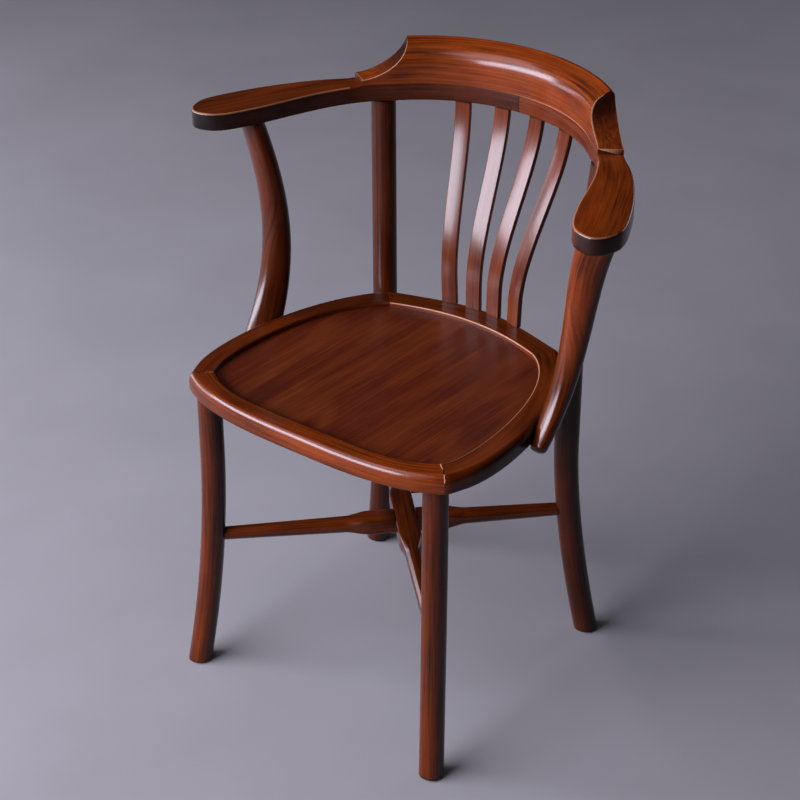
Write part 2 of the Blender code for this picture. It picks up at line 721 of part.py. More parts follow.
# Arm rail in two halves that meet on the middle line
rails = {}
for label, side in SIDES:
    outline = [flip(point, side) for point in RAIL_OUTLINE]
    rail = plate("arm_rail_" + label, outline, RAIL_LOW, RAIL_TOP)

    def free_edge(a, b):
        """An edge that a hand can reach: not the seam, and not the top under the crest."""
        middle = (a + b) / 2
        angle = math.atan2(abs(middle.x), middle.y - ARC_Y)
        under_crest = middle.z > RAIL_TOP - WELD and angle < CREST_ANGLE
        return abs(a.z - b.z) < WELD and max(abs(a.x), abs(b.x)) > GAP * 2 and not under_crest

    round_edges(rail, RAIL_ROUND, EDGE_STEPS, free_edge)
    trim(rail, Vector((side * GAP / 2, 0, 0)), Vector((-side, 0, 0)))
    rails[side] = rail
    post = posts[side]
    foot = at(post_axis(side, RAIL_LOW).to_2d(), RAIL_LOW)
    low_end = foot - UP * POST_PEG
    peg = cylinder("post_peg_" + label, low_end, foot + UP * POST_PEG, POST_PEG_RADIUS)
    boolean(post, peg, "UNION")
    hole_end = foot + UP * (POST_PEG + GAP)
    cut(rail, cylinder("post_hole_" + label, low_end, hole_end, POST_PEG_RADIUS + GAP))
for name, share in SEAM_DOWEL_SHARES.items():
    spot = at(on_rail(0, share), RAIL_LOW + RAIL_THICK * SEAM_DOWEL_LIFT)
    half = Vector((SEAM_DOWEL / 2, 0, 0))
    dowel("rail_dowel_" + name, spot - half, spot + half, SEAM_DOWEL_RADIUS, rails.values())


# Crest: one bent piece, sawn to a hollow that leaves a low step at both ends
CREST_BACK = RAIL_WIDTH - CREST_RIDGE        # radius of the rounded back
NOSE_TURN = math.pi / 2 - CREST_SLOPE
SLOPE_FOOT = CREST_HEIGHT - CREST_RIDGE * math.tan(CREST_SLOPE)
NOSE_START = SLOPE_FOOT - CREST_NOSE * math.tan(NOSE_TURN / 2)
NOSE_END = NOSE_START + CREST_NOSE * math.sin(NOSE_TURN)


def front_set(height):
    """How far the crest's front lies behind the rail's edge: upright, then the nose, then the slope."""
    if height > NOSE_END:
        return (height - SLOPE_FOOT) / math.tan(CREST_SLOPE)
    rise = max(0.0, height - NOSE_START)
    return CREST_NOSE - math.sqrt(CREST_NOSE ** 2 - rise ** 2)


def back_set(height):
    """The same for its back, upright and then rounded over to the ridge."""
    rise = max(0.0, height - (CREST_HEIGHT - CREST_BACK))
    return CREST_RIDGE + math.sqrt(CREST_BACK ** 2 - rise ** 2)


def ridge_height(behind):
    """Height of the full crest at a distance behind its front."""
    if behind < CREST_RIDGE:
        return SLOPE_FOOT + behind * math.tan(CREST_SLOPE)
    return CREST_HEIGHT - CREST_BACK + math.sqrt(CREST_BACK ** 2 - (behind - CREST_RIDGE) ** 2)


def crest_top(angle):
    """Height of the ridge, which falls in a hollow towards the ends."""
    run_in = min(1.0, (CREST_ANGLE - abs(angle)) / SCOOP_ANGLE)
    return CREST_HEIGHT - (CREST_HEIGHT - CREST_STEP) * (1 - run_in ** SCOOP_POWER) ** (1 / SCOOP_POWER)


def crest_section(angle):
    """Outline of the crest at an angle, front to back, as (distance behind the front face, height)."""
    top = crest_top(angle)
    brow = min(top, CREST_HEIGHT - CREST_BROW)
    points = [(front_set(brow * share), brow * share) for share in FRONT_SHARES]
    for behind in level(front_set(brow), back_set(brow), CREST_TOP_STEPS)[1:-1]:
        points.append((behind, min(top, ridge_height(behind))))
    return points + [(back_set(brow * share), brow * share) for share in BACK_SHARES]


quarter_turn = level(0, math.pi / 2, SCOOP_STEPS)
hollow = [CREST_ANGLE - SCOOP_ANGLE * math.sin(turn) ** (2 / SCOOP_POWER) for turn in quarter_turn]
middle_run = level(CREST_ANGLE - SCOOP_ANGLE, 0, CREST_STEPS)
angles = hollow + middle_run[1:]
angles += [-angle for angle in reversed(angles[:-1])]
rings = []
for angle in angles:
    ring_points = []
    for behind, height in crest_section(angle):
        spot = flip(on_rail(abs(angle), behind / RAIL_WIDTH), 1 if angle > 0 else -1)
        ring_points.append(at(spot, CREST_LOW + height))
    rings.append(ring_points)
crest = loft("crest_rail", rings)
for label, side in SIDES:
    for name, angle in zip(("inner", "outer"), CREST_DOWEL_ANGLES):
        spot = at(flip(on_rail(angle, 0.5), side), RAIL_TOP)
        dowel(f"crest_dowel_{name}_{label}", spot - UP * CREST_DOWEL[0], spot + UP * CREST_DOWEL[1],
              DOWEL_RADIUS, (rails[side], crest))


# Back slats: rings lie level, so both shoulders come out flat
def slat_ring(centre, across, behind, width, thick, corner, z):
    """A level rounded rectangle; across and behind are the two plan directions of the slat."""
    ring_points = []
    for quarter, (sx, sy) in enumerate(((1, 1), (-1, 1), (-1, -1), (1, -1))):
        for i in range(CORNER_STEPS + 1):
            angle = math.pi / 2 * (quarter + i / CORNER_STEPS)
            u = sx * (width / 2 - corner) + corner * math.cos(angle)
            v = sy * (thick / 2 - corner) + corner * math.sin(angle)
            ring_points.append(at(centre + across * u + behind * v, z))
    return ring_points


def slat_shift(share):
    """How much of its bend a slat has made at a share of its height."""
    def ease(x):
        x = max(0.0, x)
        return x * x * (3 - 2 * x)
    reach = SLAT_END - SLAT_START
    return ease((share - SLAT_START) / reach) / ease((1 - SLAT_START) / reach)


for label, side in SIDES:
    for name, (foot, turn, yaw) in SLATS.items():
        head = on_rail(turn, SLAT_SET / RAIL_WIDTH)
        behind = Vector((math.sin(yaw), math.cos(yaw)))
        across = Vector((behind.y, -behind.x))
        travel = head - foot
        rise = RAIL_LOW - SEAT_TOP - 2 * GAP

        def centre_at(share):
            bend = behind * (travel.dot(behind) * slat_shift(share) + SLAT_THICK / 2)
            return foot + bend + across * (travel.dot(across) * share)

        def place(share, width, thick, corner, z):
            ring_points = slat_ring(centre_at(share), across, behind, width, thick, corner, z)
            return [Vector((p.x * side, p.y, p.z)) for p in ring_points]

        tenon = (SLAT_TENON_WIDTH, SLAT_TENON_THICK, SLAT_ROUND)
        low = SEAT_TOP + GAP
        rings = [place(0, *tenon, SEAT_TOP - SLAT_TENON), place(0, *tenon, low)]
        for share in level(0, 1, SLAT_STEPS):
            ahead = min(1.0, share + SLAT_PROBE)
            back = max(0.0, share - SLAT_PROBE)
            slope = travel.dot(behind) * (slat_shift(ahead) - slat_shift(back)) / ((ahead - back) * rise)
            thick = SLAT_THICK * math.hypot(1, slope)
            rings.append(place(share, SLAT_WIDTH, thick, SLAT_ROUND, low + rise * share))
        rings += [place(1, *tenon, RAIL_LOW - GAP), place(1, *tenon, RAIL_LOW + SLAT_TENON)]
        loft(f"back_slat_{name}_{label}", rings)
        grow = Vector((SLAT_TENON_WIDTH, SLAT_TENON_THICK, SLAT_TENON * 2)) + Vector((GAP, GAP, GAP)) * 2
        for host, share, z, deep in ((rim_back, 0, SEAT_TOP, 1), (rails[side], 1, RAIL_LOW, -1)):
            spot = at(flip(centre_at(share), side), z)
            cut(host, box(f"slat_mortise_{name}_{label}_{deep}", spot, grow, -yaw * side))


# Arm supports: sticks bent from the arm down over the rim
def support_knots():
    """The bend as two ends with their handles, right side."""
    low = SEAT_TOP - SUPPORT_DROP
    rise = (RAIL_LOW - low) / 3
    near = min(SIDE_EDGE, key=lambda point: abs(point.y - SUPPORT_FOOT_Y))
    i = SIDE_EDGE.index(near)
    ahead = SIDE_EDGE[i + 1] - near
    edge_x = near.x + ahead.x * (SUPPORT_FOOT_Y - near.y) / ahead.y
    foot = Vector((edge_x + SUPPORT_FOOT_OUT, SUPPORT_FOOT_Y))
    top = on_arm(SUPPORT_TOP)
    return (at(top, RAIL_LOW), at(top + SUPPORT_UPPER, RAIL_LOW - rise),
            at(foot + SUPPORT_LOWER, low + rise), at(foot, low))


def between(pair, share):
    return pair[0] + (pair[1] - pair[0]) * share


def support_ring(centre, along, share, scale, side):
    """A soft-cornered section, squarely across the stick."""
    level_wide = Vector((math.cos(SUPPORT_YAW), math.sin(SUPPORT_YAW), 0))
    wide = (level_wide - level_wide.project(along)).normalized()
    deep = along.cross(wide).normalized()
    ring_points = []
    for i in range(SUPPORT_SIDES):
        angle = 2 * math.pi * (i + 0.5) / SUPPORT_SIDES
        c, s = math.cos(angle), math.sin(angle)
        u = math.copysign(abs(c) ** (2 / SUPPORT_POWER), c) * between(SUPPORT_WIDTH, share) / 2
        v = math.copysign(abs(s) ** (2 / SUPPORT_POWER), s) * between(SUPPORT_THICK, share) / 2
        point = centre + (wide * u + deep * v) * scale
        ring_points.append(Vector((point.x * side, point.y, point.z)))
    return ring_points


bend = support_knots()
bend_line = interpolate_bezier(*bend, SUPPORT_STEPS + 1)
for label, side in SIDES:
    rings = []
    leave = (bend[1] - bend[0]).normalized()
    arrive = (bend[3] - bend[2]).normalized()
    rings.append(support_ring(bend[0] - leave * SUPPORT_SPARE, leave, 0, 1, side))
    for i, point in enumerate(bend_line):
        ahead = bend_line[min(i + 1, len(bend_line) - 1)] - bend_line[max(i - 1, 0)]
        rings.append(support_ring(point, ahead, i / SUPPORT_STEPS, 1, side))
    for reach in SUPPORT_TIP_STEPS:
        scale = (1 - reach ** SUPPORT_TIP_POWER) ** (1 / SUPPORT_TIP_POWER)
        rings.append(support_ring(bend[3] + arrive * SUPPORT_TIP * reach, arrive, 1, scale, side))
    support = loft("arm_support_" + label, rings)
    trim(support, UP * (RAIL_LOW - GAP), UP)
    cut(support, support_scribe)
    head = at(flip(on_arm(SUPPORT_TOP), side), RAIL_LOW)
    dowel("support_dowel_" + label, head - UP * SUPPORT_DOWEL[0], head + UP * SUPPORT_DOWEL[1],
          DOWEL_RADIUS, (support, rails[side]))
    height = (RIM_LOW + PANEL_LOW) / 2
    middle_y = SUPPORT_FOOT_Y + SUPPORT_LOWER.y * (height - bend[3].z) / (bend[2].z - bend[3].z)
    for name, spread in (("front", -SUPPORT_SCREW_SPREAD), ("rear", SUPPORT_SCREW_SPREAD)):
        y = middle_y + spread
        right_edge = [point for point in RIM_INNER if point.x > REAR_CORNER.x]
        face = min(right_edge, key=lambda point: abs(point.y - y))
        start = Vector((side * (face.x + SCREW_HEAD), y, height))
        hosts = (rim_side[side], support)
        screw(f"support_screw_{name}_{label}", start, Vector((side, 0, 0)), SUPPORT_SCREW, hosts)


# Stretchers: each runs from a front leg to the rear post on the other side
def octagon(centre, across, width, height, chamfer):
    """Eight corners of a chamfered rectangle that stands across a stretcher."""
    w, h = width / 2, height / 2
    corners = ((w, h - chamfer), (w - chamfer, h), (chamfer - w, h), (-w, h - chamfer),
               (-w, chamfer - h), (chamfer - w, -h), (w - chamfer, -h), (w, chamfer - h))
    return [centre + across * u + UP * v for u, v in corners]


def stretcher_half(length):
    """Sections from the crossing out to a leg's axis, as (distance, width, height, chamfer)."""
    eighth = (1 - math.tan(math.pi / 8)) / 2
    stations = []
    for share in level(0, 1, NECK_STEPS):
        ease = share * share * (3 - 2 * share)
        width = LAP_WIDTH + (ARM_SECTION[0] - LAP_WIDTH) * ease
        height = LAP_HEIGHT + (ARM_SECTION[1] - LAP_HEIGHT) * ease
        chamfer = LAP_CHAMFER + (ARM_SECTION[1] * eighth - LAP_CHAMFER) * ease
        stations.append((LAP_HALF + NECK * share, width, height, chamfer))
    return stations + [(length, *END_SECTION, END_SECTION[1] * eighth)]


stretchers = {}
for name, side in (("upper", -1), ("lower", 1)):
    front = leg_axis(-side, STRETCHER_Z)
    rear = post_axis(side, STRETCHER_Z)
    along = (rear - front).normalized()
    across = along.cross(UP)
    crossing = front + (rear - front) * (front.x / (front.x - rear.x))
    rings = []
    for station in reversed(stretcher_half((crossing - front).length)):
        rings.append(octagon(crossing - along * station[0], across, *station[1:]))
    for station in stretcher_half((rear - crossing).length):
        rings.append(octagon(crossing + along * station[0], across, *station[1:]))
    obj = loft("stretcher_" + name, rings)
    stretchers[name] = (obj, along)
    for end, axis, inward, upright, shell, radius in (
        ("front", front, along, legs[-side], leg_shells[-side], LEG_RADIUS),
        ("rear", rear, -along, posts[side], post_shells[side], POST_RADIUS),
    ):
        cut(obj, shell)
        deep = axis + inward * (radius - STRETCHER_PEG)
        clear = axis + inward * radius * 2
        boolean(obj, cylinder(f"{end}_peg_{name}", deep, clear, STRETCHER_PEG_RADIUS), "UNION")
        socket = cylinder(f"{end}_socket_{name}", deep - inward * GAP, clear, STRETCHER_PEG_RADIUS + GAP)
        cut(upright, socket)

for name, other, sign in (("upper", "lower", -1), ("lower", "upper", 1)):
    obj = stretchers[name][0]
    along = stretchers[other][1]
    centre = crossing + UP * sign * (LAP_HEIGHT / 2 - GAP / 2)
    size = Vector((LAP_HALF * 2, LAP_WIDTH + 2 * GAP, LAP_HEIGHT))
    cut(obj, box("lap_" + name, centre, size, math.atan2(along.y, along.x)))
under = crossing - UP * LAP_HEIGHT / 2
screw("stretcher_screw", under, UP, LAP_SCREW, [obj for obj, _ in stretchers.values()])
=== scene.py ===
# %% [markdown]
# # A bentwood armchair
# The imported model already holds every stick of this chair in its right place, but as plain
# facets. This script dresses it: the wood that shows is built again as smooth bent pieces, each
# gets a grain that follows its own bend, and a stain and lacquer like the real one's. The seat
# panel, the blocks, the foot pads and the hidden dowels and screws keep their shape and only get a
# finish.

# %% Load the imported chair
import math

import bmesh
import bpy
import numpy as np
from mathutils import Matrix, Vector
from mathutils.geometry import interpolate_bezier


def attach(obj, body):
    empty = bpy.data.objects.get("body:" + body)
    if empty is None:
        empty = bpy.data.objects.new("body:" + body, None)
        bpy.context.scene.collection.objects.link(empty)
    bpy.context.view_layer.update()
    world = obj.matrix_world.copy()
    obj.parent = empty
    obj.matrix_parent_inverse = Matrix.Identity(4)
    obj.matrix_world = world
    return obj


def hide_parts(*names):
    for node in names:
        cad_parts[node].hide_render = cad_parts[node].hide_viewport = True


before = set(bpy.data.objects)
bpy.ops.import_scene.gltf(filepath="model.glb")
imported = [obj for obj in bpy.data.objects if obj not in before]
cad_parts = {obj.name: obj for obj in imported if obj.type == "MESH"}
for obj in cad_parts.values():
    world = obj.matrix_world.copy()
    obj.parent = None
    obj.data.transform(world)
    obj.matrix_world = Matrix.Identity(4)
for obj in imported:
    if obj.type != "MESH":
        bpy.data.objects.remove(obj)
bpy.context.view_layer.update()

scene = bpy.context.scene
print("packed pieces:", len(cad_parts))

# %% [markdown]
# ## Camera
# The chair was photographed from above its front right corner with a longish lens. A camera only
# needs a place, a point to look at and a focal length; pointing it with a track quaternion is
# easier to read than three angles.

# %% Camera
CAMERA_PLACE = Vector((1.41298, -1.88216, 1.78227))
CAMERA_AIM = Vector((-1.05045, 1.33336, -0.62192))
FOCAL_LENGTH, SENSOR = 91.61, 36     # millimetres

lens = bpy.data.cameras.new("photo_lens")
lens.sensor_width = SENSOR
lens.lens = FOCAL_LENGTH
camera = bpy.data.objects.new("photo_camera", lens)
camera.location = CAMERA_PLACE
camera.rotation_euler = (CAMERA_AIM - CAMERA_PLACE).to_track_quat("-Z", "Y").to_euler()
scene.collection.objects.link(camera)
scene.camera = camera
scene.view_settings.view_transform = "Standard"
print("camera looks down by", round(math.degrees(math.pi / 2 - camera.rotation_euler.x), 1), "degrees")

# %% [markdown]
# ## Two small helpers for nodes
# Materials and Geometry Nodes trees are both made of nodes, so one helper serves both: it adds a
# node, sets its options, fills each input with a value or a link, and hands back the output that
# the next node needs. Colours are written the way paint charts give them, as hex codes, and turned
# into the linear values that light needs.

# %% Node and colour helpers
def node(tree, kind, inputs, out=0, **options):
    """Adds a node and returns its output by name or number, or all of them for None."""
    made = tree.nodes.new(kind)
    for option, value in options.items():
        setattr(made, option, value)
    for key, value in inputs.items():
        if isinstance(value, bpy.types.NodeSocket):
            tree.links.new(value, made.inputs[key])
        else:
            made.inputs[key].default_value = value
    return made.outputs if out is None else made.outputs[out]


def linear(code):
    """A hex colour as linear red, green, blue and a full alpha."""
    shares = [int(code[i:i + 2], 16) / 255 for i in (1, 3, 5)]
    return [s / 12.92 if s <= 0.04045 else ((s + 0.055) / 1.055) ** 2.4 for s in shares] + [1.0]


print("a mid grey of #808080 is", round(linear("#808080")[0], 3), "in linear light")

# %% [markdown]
# ## What every finish here has
# Wood, plating and moulded plastic look alike in one way: up close there is a mottle of some real
# size and direction, other tones lie over a ground colour where the mottle is strong, and the gloss
# and a fine relief follow it. Each finish could repeat those nodes; four short steps that all of
# them share keep the sizes and the tones in view instead.

# %% Steps of a finish
def blank_material(name):
    """A material with its Principled shader and nothing else yet."""
    material = bpy.data.materials.new(name)
    material.use_nodes = True
    return material, material.node_tree, material.node_tree.nodes["Principled BSDF"]


def mottle(tree, place, size, detail=2.0, low=0.0, high=1.0):
    """Noise drawn out to a size in metres on each axis; low to high of it becomes 0 to 1."""
    drawn = node(tree, "ShaderNodeVectorMath", {0: place, 1: [1 / s for s in size]}, operation="MULTIPLY")
    noise = node(tree, "ShaderNodeTexNoise", {"Vector": drawn, "Scale": 1.0, "Detail": detail})
    return node(tree, "ShaderNodeMapRange", {"Value": noise, "From Min": low, "From Max": high})


def layered(tree, ground, tones):
    """A ground colour with tones over it, each as strong as its pattern times its share."""
    colour = linear(ground)
    for pattern, share, tone in tones:
        amount = node(tree, "ShaderNodeMath", {0: pattern, 1: share}, operation="MULTIPLY")
        colour = node(tree, "ShaderNodeMix", {0: amount, 6: colour, 7: linear(tone)}, 2, data_type="RGBA")
    return colour


def lay_finish(tree, shader, colour, gloss, relief, settings):
    """Joins the colour, gloss (pattern, roughness from, to) and relief (pattern, strength, depth)."""
    pattern, smooth, dull = gloss
    rough = node(tree, "ShaderNodeMapRange", {"Value": pattern, "To Min": smooth, "To Max": dull})
    pattern, strength, depth = relief
    bump = node(tree, "ShaderNodeBump", {"Height": pattern, "Strength": strength, "Distance": depth})
    for socket, link in (("Base Color", colour), ("Roughness", rough), ("Normal", bump)):
        tree.links.new(link, shader.inputs[socket])
    for socket, value in settings.items():
        shader.inputs[socket].default_value = value


print("finish steps ready")

# %% [markdown]
# ## Stained beech under gloss lacquer
# Beech has a close, even grain with long faint streaks and short darker flecks. A red-brown stain
# soaks in unevenly, so broad patches of it are lighter or darker, and a clear lacquer lies on top:
# the eye sees a warm ground through a thin mirror. Every piece carries its own grain direction as
# a vector named grain, in metres along, across and above the stick, so the streaks bend with the
# wood. Three single values go with it. The first turns arrises and glue lines pale: partly wear,
# where the stain is thin, and partly a painted highlight on edges that catch the light. The second
# marks faces cut across the fibres, which drink in more stain and turn nearly black. The third says
# how much darker each stick is made, from one end to the other, and adds painted shade on its
# upright sides.

# %% Stained beech
BLOCK_STAIN = 0.5            # share of deeper stain on the corner blocks


def stained_beech(name, own_grain):
    material, tree, shader = blank_material(name)
    if own_grain:
        grain = node(tree, "ShaderNodeAttribute", {}, "Vector", attribute_name="grain")
        depth = node(tree, "ShaderNodeAttribute", {}, "Fac", attribute_name="stain_and_shade")
    else:
        grain = node(tree, "ShaderNodeTexCoord", {}, "Object")
        depth = BLOCK_STAIN
    # pale edges, part wear and part painted highlight
    wear_and_highlight = node(tree, "ShaderNodeAttribute", {}, "Fac", attribute_name="wear_and_highlight")
    end = node(tree, "ShaderNodeAttribute", {}, "Fac", attribute_name="end")

    # Patches of stain about 90 mm long and 30 mm wide
    patch = mottle(tree, grain, (0.090, 0.030, 0.030), 3.0, 0.26, 0.74)
    # Growth streaks about 110 mm long and 3 mm wide
    streak = mottle(tree, grain, (0.110, 0.003, 0.003), 3.0, 0.35, 0.70)
    # Ray flecks are 3 mm by 0.3 mm on real beech; drawn over twice as coarse so that they show
    fleck = mottle(tree, grain, (0.007, 0.0008, 0.0008), 1.0, 0.56, 0.70)
    # Faces that cut across the fibres soak up more stain
    soaked = node(tree, "ShaderNodeMapRange", {"Value": end, "From Min": 0.25, "From Max": 0.75})
    colour = layered(tree, "#300B02", (
        (patch, 1.0, "#722905"), (streak, 0.45, "#9A490A"), (fleck, 0.24, "#240B03"),
        (soaked, 0.92, "#1A0602"),
    ))
    # Each stick is darkened by its own amount and more on its upright sides, which is painted shade;
    # its pale edges are partly worn-off stain and partly painted highlight
    stained_and_shaded = node(tree, "ShaderNodeMix", {0: depth, 6: colour, 7: linear("#2A1A10")}, 2,
                   data_type="RGBA", blend_type="MULTIPLY")
    worn_and_highlit = node(tree, "ShaderNodeMix", {0: wear_and_highlight, 6: stained_and_shaded, 7: linear("#D9A37C")}, 2, data_type="RGBA")
    lay_finish(tree, shader, worn_and_highlit, (patch, 0.30, 0.40), (streak, 0.03, 0.0002), {
        "Specular IOR Level": 0.1, "Coat Weight": 0.6, "Coat Roughness": 0.19, "Coat IOR": 1.45})
    return material


beech = stained_beech("stained_beech_gloss_lacquer", True)
block_beech = stained_beech("stained_beech_blocks", False)
print("made", beech.name, "and", block_beech.name)

# %% [markdown]
# ## Veneer of the seat panel
# The panel is plywood faced with a sliced veneer. Slicing across the rings leaves long leaf-shaped
# figures that run from the back of the seat to its front, and the stain darkens them to a deep
# red-brown. The pattern is laid out in the panel's own plane, turned a little off square.

# %% Veneer
OFF_SQUARE = math.radians(2)
RINGS_IN_LEAF = 26.0         # radians of the ring wave from the lowest noise to the highest


def panel_veneer():
    material, tree, shader = blank_material("veneered_plywood_gloss_lacquer")
    place = node(tree, "ShaderNodeTexCoord", {}, "Object")
    turned = node(tree, "ShaderNodeMapping", {"Vector": place, "Rotation": (0, 0, OFF_SQUARE)})

    # Leaf figures about 70 mm wide and 400 mm long, each ringed by up to four lines
    leaf = mottle(tree, turned, (0.070, 0.400, 0.070), 1.5)
    rings = node(tree, "ShaderNodeMath", {0: leaf, 1: RINGS_IN_LEAF}, operation="MULTIPLY")
    rings = node(tree, "ShaderNodeMath", {0: rings}, operation="SINE")
    rings = node(tree, "ShaderNodeMapRange", {"Value": rings, "From Min": 0.1, "From Max": 1.0})
    # Pale fibres about 120 mm long and 2 mm wide
    fibre = mottle(tree, turned, (0.0022, 0.120, 0.0022), 2.0, 0.50, 0.72)
    # Pores about 25 mm long and 1 mm wide
    pore = mottle(tree, turned, (0.0012, 0.025, 0.0012), 2.0, 0.50, 0.75)
    # Stain patches about 130 mm across
    patch = mottle(tree, turned, (0.130, 0.130, 0.130), 3.0, 0.30, 0.70)
    colour = layered(tree, "#371005", (
        (patch, 1.0, "#4A1908"), (rings, 0.20, "#74360F"), (fibre, 0.15, "#8A4A1C"),
        (pore, 0.35, "#240A03"),
    ))
    lay_finish(tree, shader, colour, (patch, 0.34, 0.44), (pore, 0.10, 0.0003), {
        "Specular IOR Level": 0.1, "Coat Weight": 0.5, "Coat Roughness": 0.30})
    return material


veneer = panel_veneer()
print("made", veneer.name)

# %% [markdown]
# ## Bare beech, zinc and plastic
# The dowels inside the joints were never stained: sawn beech, pale and dull, with saw marks.
# Screws are zinc plated steel with a slightly crystalline shine, and the foot pads are moulded
# dark plastic with a fine spark texture. All three are small, so a mottle or two is enough.

# %% Bare beech, zinc and plastic
def bare_beech():
    material, tree, shader = blank_material("sawn_beech_bare")
    place = node(tree, "ShaderNodeTexCoord", {}, "Object")
    # Streaks 60 mm long and 1.5 mm wide, saw marks 3 mm apart
    streak = mottle(tree, place, (0.0015, 0.060, 0.0015))
    saw = mottle(tree, place, (0.030, 0.003, 0.030))
    colour = layered(tree, "#B08C66", ((streak, 1.0, "#D8BC96"),))
    lay_finish(tree, shader, colour, (streak, 0.55, 0.75), (saw, 0.25, 0.0004), {})
    return material


def zinc_plate():
    material, tree, shader = blank_material("zinc_plated_steel")
    place = node(tree, "ShaderNodeTexCoord", {}, "Object")
    # Crystals of the plating about 1 mm across
    crystal = mottle(tree, place, (0.001, 0.001, 0.001))
    colour = layered(tree, "#A9A9A2", ((crystal, 1.0, "#CFCFC8"),))
    lay_finish(tree, shader, colour, (crystal, 0.25, 0.45), (crystal, 0.1, 0.0001), {"Metallic": 1.0})
    return material


def pad_plastic():
    material, tree, shader = blank_material("moulded_polyethylene")
    place = node(tree, "ShaderNodeTexCoord", {}, "Object")
    # Spark texture of the mould about 0.8 mm
    spark = mottle(tree, place, (0.0008, 0.0008, 0.0008))
    colour = layered(tree, "#1E1A18", ((spark, 1.0, "#332D2A"),))
    lay_finish(tree, shader, colour, (spark, 0.45, 0.65), (spark, 0.2, 0.0002), {})
    return material


raw_beech = bare_beech()
zinc = zinc_plate()
plastic = pad_plastic()
print("made", raw_beech.name, zinc.name, plastic.name)

# %% [markdown]
# ## Floor and light
# A pale floor fills the whole picture. The light is one wide window in front and to the left, with
# smaller soft sources above and beside it and a weak one behind; the room to the right is dim. Gloss
# wood shows its surroundings as much as its colour: the window draws long pale bands, and the dim
# side keeps the stain deep. So the surroundings brighten towards the window instead of being one grey.

# %% Floor
FLOOR_SIZE = 30.0


def pale_floor():
    material, tree, shader = blank_material("pale_cement_floor")
    place = node(tree, "ShaderNodeTexCoord", {}, "Object")
    # Faint clouding about 250 mm across
    cloud = mottle(tree, place, (0.250, 0.250, 0.250), 6.0)
    pale = layered(tree, "#7A797B", ((cloud, 1.0, "#878689"),))
    # Seen straight or in the gloss the floor is pale; what it throws back as fill is much less
    seen = node(tree, "ShaderNodeLightPath", {}, None)
    plainly = node(tree, "ShaderNodeMath", {0: seen["Is Camera Ray"], 1: seen["Is Glossy Ray"]})
    plainly = node(tree, "ShaderNodeMath", {0: plainly, 1: seen["Is Transmission Ray"]}, use_clamp=True)
    colour = node(tree, "ShaderNodeMix", {0: plainly, 6: linear("#202022"), 7: pale}, 2, data_type="RGBA")
    tree.links.new(colour, shader.inputs["Base Color"])
    shader.inputs["Roughness"].default_value = 0.7
    shader.inputs["Specular IOR Level"].default_value = 0.0
    return material


half = FLOOR_SIZE / 2
corners = [(-half, -half, 0), (half, -half, 0), (half, half, 0), (-half, half, 0)]
floor_mesh = bpy.data.meshes.new("floor")
floor_mesh.from_pydata(corners, [], [(0, 1, 2, 3)])
floor_mesh.materials.append(pale_floor())
floor = bpy.data.objects.new("floor", floor_mesh)
scene.collection.objects.link(floor)
print("floor", FLOOR_SIZE, "m wide")

# %% Light
WINDOW_SIDE = Vector((-0.62, -0.62, 0.48))
DIM, BRIGHT = 0.005, 0.10    # strength of the surroundings away from the window and towards it
DIM_UNTIL, BRIGHT_FROM = -0.2, 0.9   # how squarely a direction faces the window, from -1 to 1
LIGHTS = {                   # place, point it looks at, width, height, watts, colour
    "wide_window": ((-1.80, -2.84, 1.76), (0, 0, 0.6), 4.0, 1.3, 390, "#F1EEFF"),
    "high_front": ((-0.7, -1.5, 2.6), (0, 0, 0.7), 2.4, 1.3, 36, "#F4F0FF"),
    "low_left": ((-2.9, -0.6, 0.75), (0, 0, 0.6), 2.0, 0.7, 32, "#F1EEFF"),
    "weak_behind": ((0.7, 3.2, 1.3), (0, 0, 0.5), 2.0, 1.4, 16, "#F4F0FF"),
}


def dim_room():
    """Surroundings that brighten smoothly towards the window."""
    world = bpy.data.worlds.new("room")
    world.use_nodes = True
    tree = world.node_tree
    way = node(tree, "ShaderNodeTexCoord", {}, "Generated")
    facing = node(tree, "ShaderNodeVectorMath", {0: way, 1: WINDOW_SIDE}, "Value", operation="DOT_PRODUCT")
    strength = node(tree, "ShaderNodeMapRange", {
        "Value": facing, "From Min": DIM_UNTIL, "From Max": BRIGHT_FROM, "To Min": DIM, "To Max": BRIGHT,
    }, interpolation_type="SMOOTHSTEP")
    tree.nodes["Background"].inputs["Color"].default_value = linear("#D3D4DC")
    tree.links.new(strength, tree.nodes["Background"].inputs["Strength"])
    return world


for name, (place, aim_at, width, height, power, colour) in LIGHTS.items():
    data = bpy.data.lights.new(name, "AREA")
    data.shape = "RECTANGLE"
    data.size = width
    data.size_y = height
    data.energy = power
    data.color = linear(colour)[:3]
    lamp = bpy.data.objects.new(name, data)
    lamp.location = place
    lamp.rotation_euler = (Vector(aim_at) - Vector(place)).to_track_quat("-Z", "Y").to_euler()
    scene.collection.objects.link(lamp)
scene.world = dim_room()
print(len(LIGHTS), "soft sources, surroundings", DIM, "to", BRIGHT)

# %% [markdown]
# ## Laying the grain
# A stick is bent, never sawn to its curve, so its fibres run along its middle line. For every
# point of a mesh the nearest place on that line says how far along the stick it is and how far to
# the side. A UV map could hold two of these, but the streaks have depth, so all three are stored on
# the points. Each piece starts somewhere else in the pattern, as if cut from its own plank.

# %% Grain
PLANK_STEP = np.array((0.731, 0.173, 0.117))   # from one plank's start in the pattern to the next
plank = 0


def mark(mesh, name, values):
    """Stores one value for each point."""
    values = np.asarray(values, np.float32).ravel()
    mesh.attributes.new(name, "FLOAT", "POINT").data.foreach_set("value", values)


def per_point(mesh, field):
    """The points' places (co) or normals (normal), a row for each."""
    values = np.zeros(len(mesh.vertices) * 3)
    mesh.vertices.foreach_get(field, values)
    return values.reshape(-1, 3)


